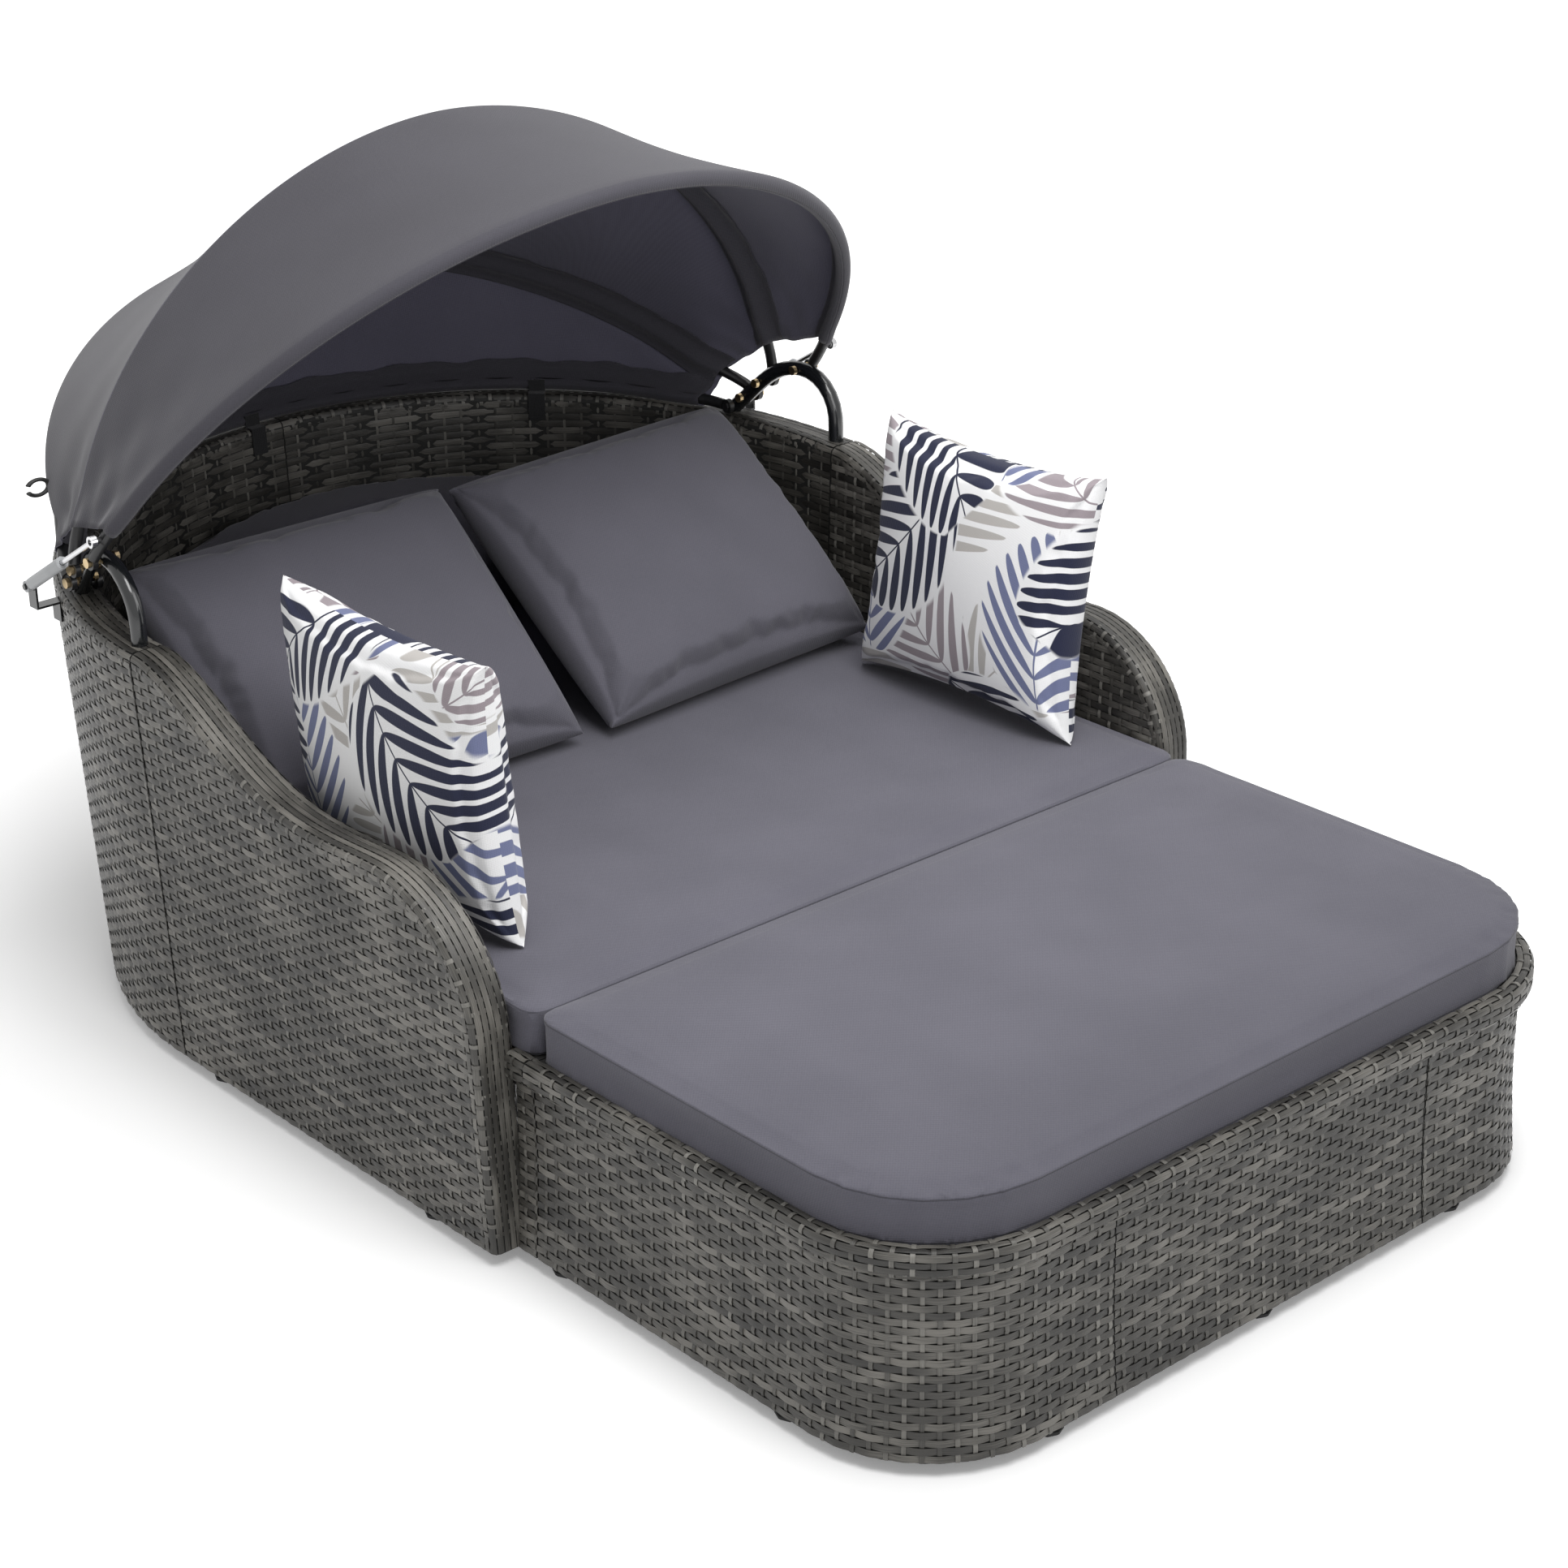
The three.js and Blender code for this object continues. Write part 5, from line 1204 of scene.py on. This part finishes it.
LEAN_SIZE = (530, 440, 160, 5)
PRINT_SIZE = (430, 388, 130, 20)
LEAN_CELLS = (84, 70)
PRINT_CELLS = (76, 68)
LEAN_FACING = (0, -0.64, 0.77)
pillow("lean_pillow_left", "back_pillow_left", PILLOW, LEAN_SIZE,
       (-300, 566), math.radians(-1), 50, LEAN_CELLS, 0.012, LEAN_FACING)
pillow("lean_pillow_right", "back_pillow_right", PILLOW, LEAN_SIZE,
       (262, 566), math.radians(4), 50, LEAN_CELLS, 0.012, LEAN_FACING)
pillow("print_pillow_left", "throw_pillow_left", PRINT, PRINT_SIZE,
       (-480, 341), QUARTER, 5, PRINT_CELLS, 0.006, (1, 0, 0))
pillow("print_pillow_right", "throw_pillow_right", PRINT, PRINT_SIZE,
       (455, 316), -QUARTER, 9, PRINT_CELLS, 0.006, (-1, 0, 0))


# Metalwork
CREASE = math.radians(58)


def dressed(node, finish):
    """A CAD solid as one smooth surface with its corners kept crisp."""
    shape = copied(node)
    for edge in shape.edges:
        edge.smooth = not (len(edge.link_faces) == 2 and edge.calc_face_angle(0) > CREASE)
    piece = made(f"{node}_finished", shape, finish, body_of(frame["nodes"][node])[0])
    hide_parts(node)
    return piece


def painted(node, finish):
    data = frame["nodes"][node].data
    data.materials.clear()
    data.materials.append(finish)


for node in frame["nodes"]:
    if node.startswith("arch_tube"):
        dressed(node, ARCH)
    elif node.endswith("_hoop"):
        dressed(node, HOOP)
    elif node.startswith("strut_cylinder"):
        dressed(node, SILVER)
    elif node.startswith("strut_rod"):
        dressed(node, ROD)
    elif node.startswith("strut_bracket"):
        painted(node, ARCH)
    elif "pivot_bolt" in node:
        painted(node, ZINC)
    elif "glide" in node:
        painted(node, GLIDE)
    elif node == "seat_deck":
        painted(node, DECK)
    elif node.endswith("_frame") or "_frame_" in node:
        painted(node, STEEL)
    elif node.startswith("hem_strap"):
        strap = copied(node)
        bmesh.ops.subdivide_edges(strap, edges=strap.edges, cuts=3, use_grid_fill=True)
        piece = made(f"{node}_webbing", strap, WEBBING, "daybed_base", smooth=False)
        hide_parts(node)
    # Remaining visible CAD solids, such as the wall shells behind the strands, take the near-black
    # painted-shade backing.
    elif frame["nodes"][node].hide_render is False:
        painted(node, GAP_SHADE)


# Camera, floor and light
def camera():
    azimuth, elevation, roll = (math.radians(angle) for angle in (-41.24, 23.95, -0.82))
    level = math.cos(elevation)
    back = Vector((math.sin(azimuth) * level, -math.cos(azimuth) * level, math.sin(elevation)))
    right = (-back).cross(Vector((0, 0, 1))).normalized()
    up = right.cross(-back)
    across = right * math.cos(roll) + up * math.sin(roll)
    upright = -right * math.sin(roll) + up * math.cos(roll)
    data = bpy.data.cameras.new("camera")
    data.sensor_width = 36
    data.lens = 76.64
    data.clip_end = 60
    seen = bpy.data.objects.new("camera", data)
    SCENE.collection.objects.link(seen)
    place = Matrix((across, upright, back)).transposed().to_4x4()
    place.translation = Vector((-2.6469, SEAM - 2.8303, 2.2002))
    seen.matrix_world = place
    SCENE.camera = seen


def lamp(name, place, target, size, power):
    data = bpy.data.lights.new(name, "AREA")
    data.shape = "SQUARE"
    data.size = size
    data.energy = power
    light = bpy.data.objects.new(name, data)
    SCENE.collection.objects.link(light)
    light.location = place
    light.rotation_euler = (Vector(target) - Vector(place)).to_track_quat("-Z", "Y").to_euler()


def seen_white(tree):
    """1 where the camera, a gloss or a clear surface looks, and 0 where light falls."""
    path = tree.nodes.new("ShaderNodeLightPath")
    seen = path.outputs["Is Camera Ray"]
    for ray in ("Is Glossy Ray", "Is Transmission Ray"):
        either = tree.nodes.new("ShaderNodeMath")
        either.operation = "MAXIMUM"
        tree.links.new(seen, either.inputs[0])
        tree.links.new(path.outputs[ray], either.inputs[1])
        seen = either.outputs[0]
    return seen


def shown(tree, lit, white, output):
    """Joins the lit shader and the one that is looked at to the output."""
    mix = tree.nodes.new("ShaderNodeMixShader")
    tree.links.new(seen_white(tree), mix.inputs[0])
    tree.links.new(lit.outputs[0], mix.inputs[1])
    tree.links.new(white.outputs[0], mix.inputs[2])
    tree.links.new(mix.outputs[0], tree.nodes[output].inputs[0])


def world():
    sky = bpy.data.worlds.new("studio")
    sky.use_nodes = True
    SCENE.world = sky
    tree = sky.node_tree
    soft = tree.nodes["Background"]
    white = tree.nodes.new("ShaderNodeBackground")
    for background, strength in ((soft, 0.46), (white, 1.0)):
        background.inputs[0].default_value = (1, 1, 1, 1)
        background.inputs[1].default_value = strength
    shown(tree, soft, white, "World Output")


def floor():
    """Pale floor that brightens to white away from the daybed."""
    shape = bmesh.new()
    bmesh.ops.create_grid(shape, x_segments=1, y_segments=1, size=9)
    ground = bpy.data.materials.new("studio_floor")
    ground.use_nodes = True
    tree = ground.node_tree
    tree.nodes.remove(tree.nodes["Principled BSDF"])
    pale = tree.nodes.new("ShaderNodeBsdfDiffuse")
    pale.inputs[0].default_value = (0.93, 0.93, 0.93, 1)
    glow = tree.nodes.new("ShaderNodeEmission")
    spot = tree.nodes.new("ShaderNodeTexCoord")
    away = tree.nodes.new("ShaderNodeVectorMath")
    away.operation = "LENGTH"
    tree.links.new(spot.outputs["Object"], away.inputs[0])
    fade = tree.nodes.new("ShaderNodeMapRange")
    for key, value in (("From Min", 1.1), ("From Max", 2.4), ("To Min", 0.21), ("To Max", 0.7)):
        fade.inputs[key].default_value = value
    tree.links.new(away.outputs["Value"], fade.inputs["Value"])
    tree.links.new(fade.outputs[0], glow.inputs[0])
    glow.inputs[1].default_value = 1.0
    add = tree.nodes.new("ShaderNodeAddShader")
    tree.links.new(pale.outputs[0], add.inputs[0])
    tree.links.new(glow.outputs[0], add.inputs[1])
    shown(tree, pale, add, "Material Output")
    made("studio_floor", shape, ground, None, smooth=False)


camera()
world()
floor()
lamp("key_lamp", (-0.9, -2.2, 4.6), (0, 0, 0.5), 2.2, 122)
lamp("top_lamp", (0.6, 0.0, 4.6), (0, 0, 0.4), 2.6, 80)
lamp("fill_lamp", (0.0, -0.85, 1.3), (0, 1.1, 0.8), 0.9, 7)
SCENE.view_settings.view_transform = "Standard"
